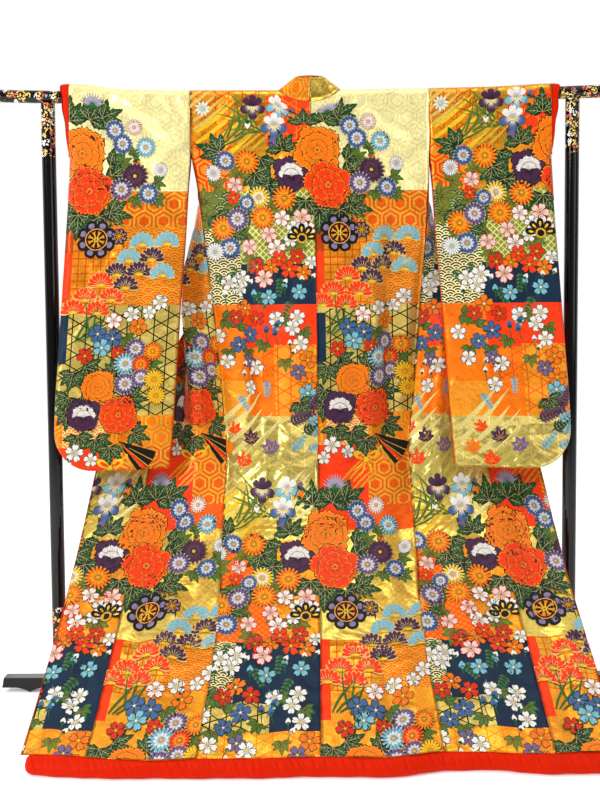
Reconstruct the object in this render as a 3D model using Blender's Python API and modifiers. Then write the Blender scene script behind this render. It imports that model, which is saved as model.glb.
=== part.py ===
"""Uchikake, the long padded wedding kimono, hung by its sleeves on a lacquered iko stand.

Metres, +Z up. The garment is seen from its back, which faces -Y. Its fronts hang behind the
bar at the shoulders, turn round the side seams and stand out as wings at the hem.
"""
import math

import bmesh
import bpy
import numpy as np

# ---- stand ----
BAR_RADIUS = 0.017
BAR_LENGTH = 1.80
BAR_HEIGHT = 1.597          # bar's axis above the floor, at its middle
BAR_SAG = 0.009             # the bar's middle hangs below its axis at the posts
SAG_FADE = (0.05, 0.35)      # distances down over which the cloth loses the bar's bow
BAR_POINTS = 13
BAR_EASE = 0.004
POST_RADIUS = 0.019
POST_X = 0.705
FOOT_SIZE = (0.045, 0.310, 0.0130)
FOOT_FRONT = -0.092
FOOT_EDGE = 0.003
RAIL_LENGTH = 1.69
RAIL_DEPTH = 0.040
RAIL_Y = -0.070             # the rail lies across the feet, in front of the posts
RAIL_HEIGHT = 0.027
DROP_X = 0.770              # ogee drop under each end of the rail
DROP_HALF_WIDTH = 0.040
DROP_HEIGHT = 0.012
DROP_STEPS = 6
DROP_CURVE = 1.8            # how sharply the drop comes to its point
RAIL_SLANT = 0.005          # the rail's top is this much shorter at each end
PIN_RADIUS = 0.004
PIN_HEAD = 0.003
TOUCH = 0.0003              # gap between pieces that meet

# ---- cloth ----
WALL = 0.003                # brocade, wadding and lining together
COLLAR_WALL = 0.004
SEAM = 0.0003
WRAP_STEPS = 3              # flats in a quarter turn of cloth over the bar
WRAP_CLEAR = math.radians(20)           # flats up to 40 degrees wide clear the bar
BAR_WRAP = (BAR_RADIUS + TOUCH) / math.cos(WRAP_CLEAR) + WALL
QUARTER = BAR_WRAP * math.pi / 2        # cloth from the fold on top of the bar to its side
LENGTH = 1.930              # shoulder fold to hem seam, down the centre back
FALL_START = 1.000          # the back hangs straight to here, then runs out on the floor
HEM_SEAM = (-0.690, 0.0435)             # Y and Z of the hem seam at the centre back
FALL_PULL_DOWN = 0.200      # the run-out's curve leaves straight down this strongly
FALL_PULL_BACK = (0.318, 0.200)         # and reaches the hem from this direction
NECK_HALF = 0.083
NECK_DROP = 0.046           # back neckline below the shoulder fold
ARMHOLE = 0.160             # sleeve is sewn to the body down to here
SIDE_SEAM_TOP = 0.280       # side seam is sewn from here down
COLLAR_WIDTH = 0.055        # folded in half
COLLAR_END = 0.930
OKUMI_TOP = 0.300
OKUMI_AT_COLLAR = 0.092
BOW = 2.6                   # how late the back panel turns away towards its side seam

# Body lines at distances down from the shoulder fold. Widths are from the centre back seam,
# set_back is how far a line lies behind the centre seam, and lean is the centre seam's drift.
BODY = {
    "down":          (QUARTER, 0.075, ARMHOLE, 0.280, 0.420, 0.560, 0.720, 0.860, 1.000, 1.100,
                      1.250, 1.450, 1.650, 1.800, LENGTH),
    "lean":          (0.000, 0.000, 0.000, 0.008, 0.012, 0.014, 0.016, 0.016, 0.016, 0.016,
                      0.016, 0.016, 0.016, 0.015, 0.014),
    "side":          (0.320, 0.320, 0.319, 0.311, 0.301, 0.289, 0.277, 0.266, 0.255, 0.257,
                      0.259, 0.255, 0.258, 0.268, 0.277),
    "side_set_back": (BAR_WRAP, BAR_WRAP, BAR_WRAP, 0.023, 0.050, 0.080, 0.105, 0.105, 0.082, 0.060,
                      0.040, 0.022, 0.010, 0.004, 0.000),
    "edge":          (0.028, 0.029, 0.080, 0.160, 0.240, 0.320, 0.415, 0.515, 0.612, 0.628,
                      0.638, 0.646, 0.655, 0.661, 0.668),
    "edge_set_back": (2 * BAR_WRAP, 0.050, 0.080, 0.125, 0.165, 0.195, 0.205, 0.180, 0.118, 0.078,
                      0.045, 0.022, 0.010, 0.004, 0.000),
    "front_width":   (0.237, 0.238, 0.239, 0.240, 0.240, 0.238, 0.236, 0.232, 0.228, 0.227,
                      0.232, 0.240, 0.248, 0.247, 0.247),
}

# How far the hem lies forward of its middle along its width.
HEM = {
    "across":  (-0.660, -0.460, -0.150, 0.020, 0.150, 0.210, 0.290, 0.380, 0.460, 0.530, 0.660),
    "forward": (-0.020, 0.008, 0.010, 0.002, 0.008, -0.004, -0.028, -0.034, -0.018, -0.006, -0.012),
}
HEM_WAVE_START = 1.150

# Folded edge of the collar where it stands up round the neck, from the centre back outward,
# over the bar and down to the bar's level behind. Heights are above the bar's axis.
COLLAR_EDGE = {
    "out":  (0.000, 0.024, 0.040, 0.044, 0.038, 0.034, 0.031, 0.029),
    "back": (-0.0190, -0.0160, -0.0090, 0.0030, 0.0180, 0.0285, 0.0345, 0.0390),
    "high": (0.0550, 0.0545, 0.0530, 0.0500, 0.0450, 0.0345, 0.0205, 0.0050),
}
COLLAR_GAP = 0.0008

# Sleeve edges at distances down from the fold, from the middle of the stand. half_gap is half
# the thickness of the sleeve, and forward is how far its outer edge hangs before the bar.
SLEEVE = {
    "down":     (0.0, 0.160, 0.280, 0.420, 0.560, 0.720, 0.860, 1.000, 1.032),
    "inner":    (0.3206, 0.3206, 0.330, 0.340, 0.353, 0.365, 0.376, 0.388, 0.391),
    "outer":    (0.644, 0.646, 0.651, 0.660, 0.670, 0.683, 0.694, 0.699, 0.700),
    "half_gap": (BAR_WRAP, BAR_WRAP, 0.016, 0.013, 0.012, 0.012, 0.012, 0.012, 0.012),
    "forward":  (0.000, 0.004, 0.014, 0.028, 0.040, 0.046, 0.050, 0.052, 0.053),
}
SLEEVE_LENGTH = 1.032
SLEEVE_CORNER = 0.105
CUFF = 0.200                # cuff opening, down from the fold
CUFF_LIFT = {-1: 0.014, 1: 0.004}       # stiff cuff stands above the bar, by side
CUFF_LIFT_ACROSS = (0.45, 1.0)          # shares of the sleeve's width over which it lifts
CUFF_LIFT_DOWN = (0.03, 0.30)           # distances down over which the lift fades
SLEEVE_SWING = 0.7          # how soon the sleeve swings forward across its width
SLEEVE_INSIDE = 0.006       # width lost inside the folded edges
LINING_SHOWS = 0.022        # lining standing out of the cuff at its top
LINING_NARROWS = 0.9        # share of it lost down at the cuff's end
LINING_WALL = 0.0025

# ---- hem roll ----
ROLL_HALF_HEIGHT = 0.0213
ROLL_HALF_DEPTH = 0.0260
ROLL_FLAT = 0.0015          # pressed flat where it lies on the floor
ROLL_END = 0.659
ROLL_BEHIND = 0.004         # the roll's middle lies behind the hem seam
ROLL_BLUNT = 0.62           # thickness of the roll's ends as a share of its middle
ROLL_TAPER = 1.5            # rings over which its ends round off

# ---- how finely the cloth is divided ----
WRAP_ROWS = tuple(QUARTER * step / WRAP_STEPS for step in range(WRAP_STEPS + 1))
BODY_ROWS = WRAP_ROWS + (
    0.070, 0.115, 0.160, 0.200, 0.240, 0.280, 0.330, 0.385, 0.440, 0.500, 0.560, 0.620, 0.680, 0.740,
    0.800, 0.860, 0.895, 0.930, 1.000, 1.055, 1.110, 1.165, 1.225, 1.290, 1.360, 1.430, 1.500,
    1.575, 1.650, 1.720, 1.790, 1.860, LENGTH)
NECK_ROWS = WRAP_STEPS + 3  # rows that the back neckline presses down
NECK_TURNS = np.radians((0.0, 30.0, 55.0, 75.0, 90.0))
BACK_SHARES = np.concatenate((np.sin(NECK_TURNS) * NECK_HALF / BODY["side"][0],
                              (0.43, 0.62, 0.81, 1.0)))
FRONT_COLUMNS = 9
OKUMI_COLUMNS = 3
COLLAR_COLUMNS = 2
NEAR = 0.002                # step for reading a surface's direction
FOLD_POINTS = 161
FOLD_DEEPEST = 0.2          # bound for the search for a front's fold depth
FOLD_TRIES = 30
SLEEVE_ROWS = WRAP_ROWS + (
    0.070, 0.115, 0.160, 0.200, 0.270, 0.350, 0.440, 0.530, 0.620, 0.710, 0.800, 0.870, 0.920)
CORNER_STEPS = (0.30, 0.60, 0.85, 0.97, 1.0)
SLEEVE_COLUMNS = (0.0, 0.16, 0.34, 0.52, 0.70, 0.85, 0.955, 1.0)
ROLL_RINGS = 40
ROLL_SIDES = 12
ROUND_SIDES = 32
BEVEL_STEPS = 12
BAR_END = 0.8               # the bar's radius at its very ends


# ---- curves ----
def follow(table, key, column, at):
    """Value of a table's column at a key, on a smooth curve that never overshoots its rows."""
    xs = np.array(table[key])
    ys = np.array(table[column])
    at = np.clip(np.asarray(at, dtype=float), xs[0], xs[-1])
    step = np.diff(xs)
    rise = np.diff(ys) / step
    slope = np.zeros(len(xs))
    same_way = rise[:-1] * rise[1:] > 0
    total = np.where(same_way, rise[:-1] + rise[1:], 1.0)
    slope[1:-1] = np.where(same_way, 2 * rise[:-1] * rise[1:] / total, 0.0)
    slope[0], slope[-1] = rise[0], rise[-1]
    k = np.clip(np.searchsorted(xs, at, side="right") - 1, 0, len(step) - 1)
    t = (at - xs[k]) / step[k]
    return (ys[k] * (1 + 2 * t) * (1 - t) ** 2 + step[k] * slope[k] * t * (1 - t) ** 2
            + ys[k + 1] * t * t * (3 - 2 * t) + step[k] * slope[k + 1] * t * t * (t - 1))


def ease(low, high, value):
    """0 below low, 1 above high, and smooth between."""
    t = np.clip((value - low) / (high - low), 0.0, 1.0)
    return t * t * (3 - 2 * t)


def spread(points, distances):
    """Points at given distances along a polyline."""
    steps = np.linalg.norm(np.diff(points, axis=0), axis=1)
    along = np.concatenate(([0.0], np.cumsum(steps)))
    return np.stack([np.interp(distances, along, points[:, k]) for k in range(points.shape[1])],
                    axis=1)


def fall_curve():
    """The centre back's run-out as a curve in Y and Z, from straight down to the hem seam."""
    top = np.array([-BAR_WRAP, BAR_HEIGHT - (FALL_START - QUARTER)])
    hem = np.array(HEM_SEAM)
    pull_down = top + np.array([0.0, -FALL_PULL_DOWN])
    pull_back = hem + np.array(FALL_PULL_BACK)
    t = np.linspace(0.0, 1.0, 400)[:, None]
    return ((1 - t) ** 3 * top + 3 * (1 - t) ** 2 * t * pull_down
            + 3 * (1 - t) * t * t * pull_back + t ** 3 * hem)


FALL = fall_curve()
FALL_LENGTH = float(np.linalg.norm(np.diff(FALL, axis=0), axis=1).sum())


def centre_line(down):
    """Y and Z of the centre back at a distance down from the shoulder fold."""
    if down < QUARTER:
        turn = down / BAR_WRAP
        return -BAR_WRAP * math.sin(turn), BAR_HEIGHT + BAR_WRAP * math.cos(turn)
    if down < FALL_START:
        return -BAR_WRAP, BAR_HEIGHT - (down - QUARTER)
    share = (down - FALL_START) / (LENGTH - FALL_START)
    y, z = spread(FALL, [share * FALL_LENGTH])[0]
    return y, z


def sag(x, down):
    """Height that the bar's bow adds to the cloth on it, fading out below."""
    return BAR_SAG * (x / POST_X) ** 2 * (1 - ease(*SAG_FADE, down))


def hem_forward(x, down):
    """Forward shift of the skirt near the hem, which is not laid quite straight."""
    return ease(HEM_WAVE_START, LENGTH, down) * follow(HEM, "across", "forward", x)


# ---- body surface ----
def back_row(side, down, shares):
    """Outer face of a back panel at one distance down, at shares from centre to side seam."""
    y, z = centre_line(down)
    width = follow(BODY, "down", "side", down)
    lean = follow(BODY, "down", "lean", down)
    opening = BAR_WRAP * (1 - ease(ARMHOLE, SIDE_SEAM_TOP, down))
    set_back = follow(BODY, "down", "side_set_back", down) - opening
    set_back = set_back if down > QUARTER else 0.0
    rows = []
    for share in shares:
        x = lean + side * width * share
        rows.append((x, y + set_back * share ** BOW - hem_forward(x, down), z + sag(x, down)))
    return np.array(rows)


def okumi_width(down):
    """Okumi at one distance down: a point at its top, full width from the collar's end on."""
    if down <= COLLAR_END:
        return OKUMI_AT_COLLAR * max(0.0, (down - OKUMI_TOP) / (COLLAR_END - OKUMI_TOP))
    return OKUMI_AT_COLLAR + COLLAR_WIDTH


def front_length(down):
    """Cloth from the side seam to the free edge: front, okumi and collar."""
    front = float(follow(BODY, "down", "front_width", down))
    collar = COLLAR_WIDTH if down <= COLLAR_END else 0.0
    return front + okumi_width(down) + collar


def front_row(side, down, distances):
    """Outer face of a front at one distance down, at distances from the side seam.

    The cloth runs from the side seam to the free edge in one S-shaped fold, deep enough to
    take up its whole width.
    """
    if down < QUARTER:
        turn = down / BAR_WRAP
        y, z = BAR_WRAP * math.sin(turn), BAR_HEIGHT + BAR_WRAP * math.cos(turn)
        start = float(follow(BODY, "down", "side", down))
        return np.array([(side * (start - d), y, z + sag(start - d, down)) for d in distances])
    y, z = centre_line(down)
    lean = float(follow(BODY, "down", "lean", down))
    opening = BAR_WRAP * (1 - ease(ARMHOLE, SIDE_SEAM_TOP, down))
    seam = np.array([follow(BODY, "down", "side", down),
                     follow(BODY, "down", "side_set_back", down) + opening])
    edge = np.array([follow(BODY, "down", "edge", down),
                     follow(BODY, "down", "edge_set_back", down)])
    chord = edge - seam
    across = np.array([chord[1], -chord[0]]) / np.linalg.norm(chord)
    t = np.linspace(0.0, 1.0, FOLD_POINTS)[:, None]
    wanted = front_length(down)
    shallow, deep = 0.0, FOLD_DEEPEST
    for _ in range(FOLD_TRIES):
        depth = (shallow + deep) / 2
        curve = seam + t * chord + depth * np.sin(2 * np.pi * t) * across
        length = np.linalg.norm(np.diff(curve, axis=0), axis=1).sum()
        shallow, deep = (depth, deep) if length < wanted else (shallow, depth)
    rows = []
    for out, behind in spread(curve, np.asarray(distances) * length / wanted):
        x = lean + side * out
        rows.append((x, y + behind - hem_forward(x, down), z + sag(x, down)))
    return np.array(rows)


def normals(grid, side):
    """Outward directions on a grid of points, rows down and columns outward."""
    out = np.cross(np.gradient(grid, axis=0), np.gradient(grid, axis=1)) * side
    return out / np.linalg.norm(out, axis=2, keepdims=True)


def wrap_normal(down, face):
    """Outward direction of cloth on the bar, or hanging straight below it."""
    turn = min(down / BAR_WRAP, math.pi / 2)
    return np.array([0.0, face * math.sin(turn), math.cos(turn)])


def front_columns(down):
    """Distances from the side seam of a front's columns: front, okumi, then collar."""
    front = float(follow(BODY, "down", "front_width", down))
    okumi = front + okumi_width(down)
    collar = front_length(down)
    return np.concatenate((np.linspace(0.0, front, FRONT_COLUMNS + 1),
                           np.linspace(front, okumi, OKUMI_COLUMNS + 1)[1:],
                           np.linspace(okumi, collar, COLLAR_COLUMNS + 1)[1:]))


def front_normals(side, down, distances):
    """Outward directions of a front at one distance down."""
    if down <= QUARTER:
        return np.array([wrap_normal(down, 1)] * len(distances))
    lower = min(down + NEAR, LENGTH)
    along = front_row(side, lower, distances) - front_row(side, down - NEAR, distances)
    across = front_row(side, down, distances + NEAR) - front_row(side, down, distances - NEAR)
    out = np.cross(along, across) * side
    return out / np.linalg.norm(out, axis=1, keepdims=True)


def body_grids(side):
    """Outer points and outward directions of one side's back and front, seam to free edge."""
    backs = np.array([back_row(side, down, BACK_SHARES) for down in BODY_ROWS])
    back_out = normals(backs, side)
    fronts = np.array([front_row(side, down, front_columns(down)) for down in BODY_ROWS])
    front_out = np.array([front_normals(side, down, front_columns(down)) for down in BODY_ROWS])
    joined = np.array(BODY_ROWS) >= SIDE_SEAM_TOP
    shared = back_out[joined, -1] + front_out[joined, 0]
    shared /= np.linalg.norm(shared, axis=1, keepdims=True)
    back_out[joined, -1] = shared
    front_out[joined, 0] = shared
    pressed = BODY_ROWS[NECK_ROWS - 1]
    for j, share in enumerate(BACK_SHARES):
        neck = neck_depth(share) + SEAM
        for i, down in enumerate(BODY_ROWS[:NECK_ROWS]):
            lowered = neck + (pressed - neck) * down / pressed
            backs[i, j] = back_row(side, lowered, BACK_SHARES)[j]
            back_out[i, j] = wrap_normal(lowered, -1)
    return backs, back_out, fronts, front_out


def inset(points, first, last):
    """Moves the first and last columns of a grid in by half a seam's gap."""
    moved = points.copy()
    if first:
        step = points[:, 1] - points[:, 0]
        moved[:, 0] += step / np.linalg.norm(step, axis=1, keepdims=True) * SEAM / 2
    if last:
        step = points[:, -2] - points[:, -1]
        moved[:, -1] += step / np.linalg.norm(step, axis=1, keepdims=True) * SEAM / 2
    return moved


# ---- objects ----
def start():
    for item in list(bpy.data.objects):
        bpy.data.objects.remove(item, do_unlink=True)
    group = bpy.data.collections.new("uchikake_on_iko_stand")
    bpy.context.scene.collection.children.link(group)
    root = bpy.data.objects.new("uchikake_root", None)
    group.objects.link(root)
    return group, root


def material(name, colour, roughness, metallic=0.0):
    item = bpy.data.materials.new(name)
    item.use_nodes = True
    shader = item.node_tree.nodes["Principled BSDF"]
    shader.inputs["Base Color"].default_value = (*colour, 1.0)
    shader.inputs["Roughness"].default_value = roughness
    shader.inputs["Metallic"].default_value = metallic
    item.diffuse_color = (*colour, 1.0)
    return item


def add(name, shape, surface):
    """Puts a mesh or curve in the part's collection under the root."""
    shape.materials.append(surface)
    item = bpy.data.objects.new(name, shape)
    PART.objects.link(item)
    item.parent = ROOT
    return item


def take(item):
    """Moves an object that an operator made into the part's collection, under the root."""
    for home in list(item.users_collection):
        home.objects.unlink(item)
    PART.objects.link(item)
    item.parent = ROOT
    return item


def mesh_of(name, vertices, faces):
    """A closed mesh with its faces pointing out."""
    mesh = bpy.data.meshes.new(name)
    mesh.from_pydata([tuple(map(float, v)) for v in vertices], [], faces)
    work = bmesh.new()
    work.from_mesh(mesh)
    bmesh.ops.recalc_face_normals(work, faces=work.faces)
    work.to_mesh(mesh)
    work.free()
    return mesh


def wall(name, outer, inner, surface):
    """A cloth wall between two grids of points, closed round its four edges."""
    rows, columns = outer.shape[:2]
    count = rows * columns
    faces = []
    for i in range(rows - 1):
        for j in range(columns - 1):
            a, b = i * columns + j, (i + 1) * columns + j
            faces.append((a, a + 1, b + 1, b))
            faces.append((a + count, b + count, b + 1 + count, a + 1 + count))
    border = [i * columns for i in range(rows)]
    border += [(rows - 1) * columns + j for j in range(1, columns)]
    border += [i * columns + columns - 1 for i in range(rows - 2, -1, -1)]
    border += [j for j in range(columns - 2, 0, -1)]
    for a, b in zip(border, border[1:] + border[:1]):
        a, b = min(a, b), max(a, b)
        faces += [(a, b, b + count), (a, b + count, a + count)]
    points = np.concatenate((outer.reshape(-1, 3), inner.reshape(-1, 3)))
    return add(name, mesh_of(name, points, faces), surface)


def hollow(name, outer, inner, open_outside, surface):
    """A flat tube of cloth from front and back layers of outer and inner points.

    The layers share the points of their top and bottom rows, and of their last column from
    row open_outside down. The first column stays open.
    """
    rows, columns = outer[0].shape[:2]
    points, index = [], {}

    def joined(i, j):
        return i in (0, rows - 1) or (j == columns - 1 and i >= open_outside)

    for skin, layers in enumerate((outer, inner)):
        for layer in (0, 1):
            for i in range(rows):
                for j in range(columns):
                    if layer and joined(i, j):
                        index[skin, 1, i, j] = index[skin, 0, i, j]
                        continue
                    index[skin, layer, i, j] = len(points)
                    points.append(layers[layer][i, j])
    faces = []
    for skin in (0, 1):
        for layer in (0, 1):
            for i in range(rows - 1):
                for j in range(columns - 1):
                    corners = ((i, j), (i, j + 1), (i + 1, j + 1), (i + 1, j))
                    face = tuple(index[skin, layer, *corner] for corner in corners)
                    faces.append(face if skin == layer else face[::-1])
    for layer in (0, 1):
        rims = [((i, 0), (i + 1, 0)) for i in range(rows - 1)]
        rims += [((i, columns - 1), (i + 1, columns - 1)) for i in range(open_outside)]
        for a, b in rims:
            faces.append((index[0, layer, *a], index[0, layer, *b],
                          index[1, layer, *b], index[1, layer, *a]))
    return add(name, mesh_of(name, points, faces), surface)


def rod(name, radius, length, location, turn, surface):
    """A straight round piece."""
    bpy.ops.mesh.primitive_cylinder_add(vertices=ROUND_SIDES, radius=radius, depth=length,
                                        location=location, rotation=turn)
    item = bpy.context.object
    item.name = name
    item.data.name = name
    item.data.materials.append(surface)
    return take(item)


# ---- garment pieces ----
def build_body(side, brocade):
    """Back, front and okumi panels of one side."""
    label = "left" if side < 0 else "right"
    backs, back_out, fronts, front_out = body_grids(side)
    backs = inset(backs, True, True)
    wall(f"back_{label}", backs, backs - back_out * WALL, brocade)

    last = FRONT_COLUMNS + 1
    panel = fronts.copy()
    panel[0] = front_row(side, SEAM, front_columns(SEAM))
    panel = inset(panel[:, :last], True, True)
    wall(f"front_{label}", panel, panel - front_out[:, :last] * WALL, brocade)

    columns = slice(FRONT_COLUMNS, FRONT_COLUMNS + OKUMI_COLUMNS + 1)
    ledge = COLLAR_END + 2 * SEAM
    downs = sorted([down for down in BODY_ROWS if down > OKUMI_TOP] + [ledge])
    outer = np.array([front_row(side, down, front_columns(down)[columns]) for down in downs])
    outward = np.array([front_normals(side, down, front_columns(down)[columns]) for down in downs])
    outer = inset(outer, True, True)
    wall(f"okumi_{label}", outer, outer - outward * WALL, brocade)
    build_collar(side, fronts, brocade)


def neck_depth(share):
    """Back neckline's distance down from the shoulder fold at a share of the back's width."""
    reach = max(0.0, 1 - (share * BODY["side"][0] / NECK_HALF) ** 2)
    return NECK_DROP * math.sqrt(reach)


def build_collar(side, fronts, brocade):
    """Half of the collar, from the centre back over the bar and down the free edge."""
    label = "left" if side < 0 else "right"
    seam = []
    for share in BACK_SHARES[:len(NECK_TURNS)]:
        seam.append(back_row(side, neck_depth(share) - COLLAR_GAP, [share])[0])
    seam = np.array(seam + [fronts[i, -1 - COLLAR_COLUMNS] for i in range(1, WRAP_STEPS + 1)])
    edge = np.stack([np.array(COLLAR_EDGE[key]) for key in ("out", "back", "high")], axis=1)
    edge[:, 0] *= side
    edge[:, 2] += BAR_HEIGHT
    upper = np.stack((seam, (seam + edge) / 2, edge), axis=1)
    upper[0, :, 0] = side * SEAM / 2
    downs = [down for down in BODY_ROWS if QUARTER < down < COLLAR_END] + [COLLAR_END - 2 * SEAM]
    columns = slice(FRONT_COLUMNS + OKUMI_COLUMNS, None)
    lower = np.array([front_row(side, down, front_columns(down)[columns]) for down in downs])
    lower_out = [front_normals(side, down, front_columns(down)[columns]) for down in downs]
    outer = np.concatenate((upper, lower))
    outward = normals(outer, side)
    outward[len(upper) + 1:] = lower_out[1:]
    for k, share in enumerate(BACK_SHARES[:len(NECK_TURNS)]):
        outward[k, 0] = wrap_normal(neck_depth(share) - COLLAR_GAP, -1)
    outward[0, :, 0] = 0.0
    outward /= np.linalg.norm(outward, axis=2, keepdims=True)
    outer = inset(outer, True, False)
    wall(f"collar_{label}", outer + outward * (COLLAR_WALL - WALL), outer - outward * WALL, brocade)


def sleeve_rows():
    """Distances down of a sleeve's rows, close together round its bottom corner."""
    bend = SLEEVE_LENGTH - SLEEVE_CORNER
    return list(SLEEVE_ROWS) + [bend + SLEEVE_CORNER * step for step in CORNER_STEPS]


def sleeve_layers(side, inside):
    """Front and back layers of a sleeve, as outer points or as inner ones."""
    bend = SLEEVE_LENGTH - SLEEVE_CORNER
    layers = []
    trim = SLEEVE_INSIDE if inside else 0.0
    wrap = BAR_WRAP - (WALL if inside else 0.0)
    for face in (-1, 1):
        rows = []
        for down in sleeve_rows():
            near = float(follow(SLEEVE, "down", "inner", down))
            far = float(follow(SLEEVE, "down", "outer", down))
            if down > bend:
                rise = (down - bend) / SLEEVE_CORNER
                far -= SLEEVE_CORNER * (1 - math.sqrt(max(0.0, 1 - rise * rise)))
            bottom = SLEEVE_LENGTH - trim
            placed = min(down, bottom)
            if down > CUFF - 1e-6:
                far -= trim
            row = []
            for share in SLEEVE_COLUMNS:
                out = near + (far - near) * share
                lift = CUFF_LIFT[side] * ease(*CUFF_LIFT_ACROSS, share)
                lift *= 1 - ease(*CUFF_LIFT_DOWN, down)
                if down < QUARTER:
                    turn = down / BAR_WRAP
                    y = face * wrap * math.sin(turn)
                    z = BAR_HEIGHT + wrap * math.cos(turn) + lift
                else:
                    gap = float(follow(SLEEVE, "down", "half_gap", down)) - (WALL if inside else 0.0)
                    closed = down >= SLEEVE_LENGTH - 1e-6 or (share == 1.0 and down >= CUFF - 1e-6)
                    forward = float(follow(SLEEVE, "down", "forward", down)) * share ** SLEEVE_SWING
                    y = -forward + (0.0 if closed else face * gap)
                    z = BAR_HEIGHT - (placed - QUARTER) + lift
                row.append((side * out, y, z + sag(out, down)))
            rows.append(row)
        layers.append(np.array(rows))
    return layers


def build_sleeve(side, brocade):
    label = "left" if side < 0 else "right"
    open_rows = sum(1 for down in SLEEVE_ROWS if down < CUFF - 1e-6)
    hollow(f"sleeve_{label}", sleeve_layers(side, False), sleeve_layers(side, True), open_rows,
           brocade)


def build_cuff(side, lining):
    """Lining that stands out of the cuff opening, over the bar and down both layers."""
    label = "left" if side < 0 else "right"
    outer = sleeve_layers(side, False)
    rows = [i for i, down in enumerate(sleeve_rows()) if down < CUFF - 1e-6]
    path = np.concatenate((outer[0][rows[::-1], -1], outer[1][rows[1:], -1]))
    downs = [sleeve_rows()[i] for i in rows]
    shows = [LINING_SHOWS * (1 - LINING_NARROWS * ease(0.0, CUFF, down)) for down in downs]
    shows = np.array(shows[::-1] + shows[1:])
    start_line = path + np.array([side * SEAM, 0.0, 0.0])
    end_line = start_line + np.array([side, 0.0, 0.0]) * shows[:, None]
    grid = np.stack((start_line, (start_line + end_line) / 2, end_line), axis=1)
    along = np.gradient(grid, axis=0)
    out = np.cross(along, np.array([1.0, 0.0, 0.0]))
    out /= np.linalg.norm(out, axis=2, keepdims=True)
    centre = grid.mean(axis=(0, 1))
    if np.sum(out * (grid - centre)) < 0:
        out = -out
    wall(f"cuff_lining_{label}", grid, grid - out * LINING_WALL, lining)


def build_hem_roll(lining):
    """Padded roll along the hem, flat where it lies on the floor."""
    points, faces = [], []
    lean = BODY["lean"][-1]
    for k in range(ROLL_RINGS + 1):
        x = lean - ROLL_END + 2 * ROLL_END * k / ROLL_RINGS
        taper = math.sqrt(min(1.0, min(k, ROLL_RINGS - k) / ROLL_TAPER))
        round_end = ROLL_BLUNT + (1 - ROLL_BLUNT) * taper
        middle = HEM_SEAM[0] - hem_forward(x, LENGTH) + ROLL_BEHIND
        for n in range(ROLL_SIDES):
            turn = 2 * math.pi * (n + 0.5) / ROLL_SIDES
            y = middle + ROLL_HALF_DEPTH * round_end * math.cos(turn)
            z = ROLL_HALF_HEIGHT * (1 + round_end * math.sin(turn)) - ROLL_FLAT
            points.append((x, y, max(0.0, z)))
    for k in range(ROLL_RINGS):
        for n in range(ROLL_SIDES):
            a, b = k * ROLL_SIDES + n, k * ROLL_SIDES + (n + 1) % ROLL_SIDES
            faces.append((a, b, b + ROLL_SIDES, a + ROLL_SIDES))
    faces.append(tuple(range(ROLL_SIDES)))
    faces.append(tuple(ROLL_RINGS * ROLL_SIDES + n for n in range(ROLL_SIDES)))
    add("fuki_hem_roll", mesh_of("fuki_hem_roll", points, faces), lining)


# ---- stand pieces ----
def rail_outline():
    """Front outline of the base rail, with a pointed ogee drop under each end."""
    bottom = FOOT_SIZE[2] + TOUCH
    half = RAIL_LENGTH / 2
    drop = []
    for k in range(-DROP_STEPS, DROP_STEPS + 1):
        share = k / DROP_STEPS
        depth = DROP_HEIGHT * (1 - abs(share)) ** DROP_CURVE
        drop.append((DROP_X + DROP_HALF_WIDTH * share, bottom - depth))
    right = drop + [(half, bottom), (half - RAIL_SLANT, bottom + RAIL_HEIGHT)]
    left = [(-x, z) for x, z in reversed(right)]
    return left + right


def build_bar(lacquer):
    """Round bar that bows down a little between the posts, with eased ends."""
    curve = bpy.data.curves.new("bar", "CURVE")
    curve.dimensions = "3D"
    curve.bevel_depth = BAR_RADIUS
    curve.bevel_resolution = BEVEL_STEPS
    curve.use_fill_caps = True
    half = BAR_LENGTH / 2
    inner = np.linspace(BAR_EASE - half, half - BAR_EASE, BAR_POINTS)
    across = [-half] + list(inner) + [half]
    line = curve.splines.new("POLY")
    line.points.add(len(across) - 1)
    for point, x in zip(line.points, across):
        point.co = (x, 0.0, BAR_HEIGHT + BAR_SAG * (x / POST_X) ** 2, 1.0)
        point.radius = BAR_END if abs(x) == half else 1.0
    add("bar", curve, lacquer)


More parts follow.
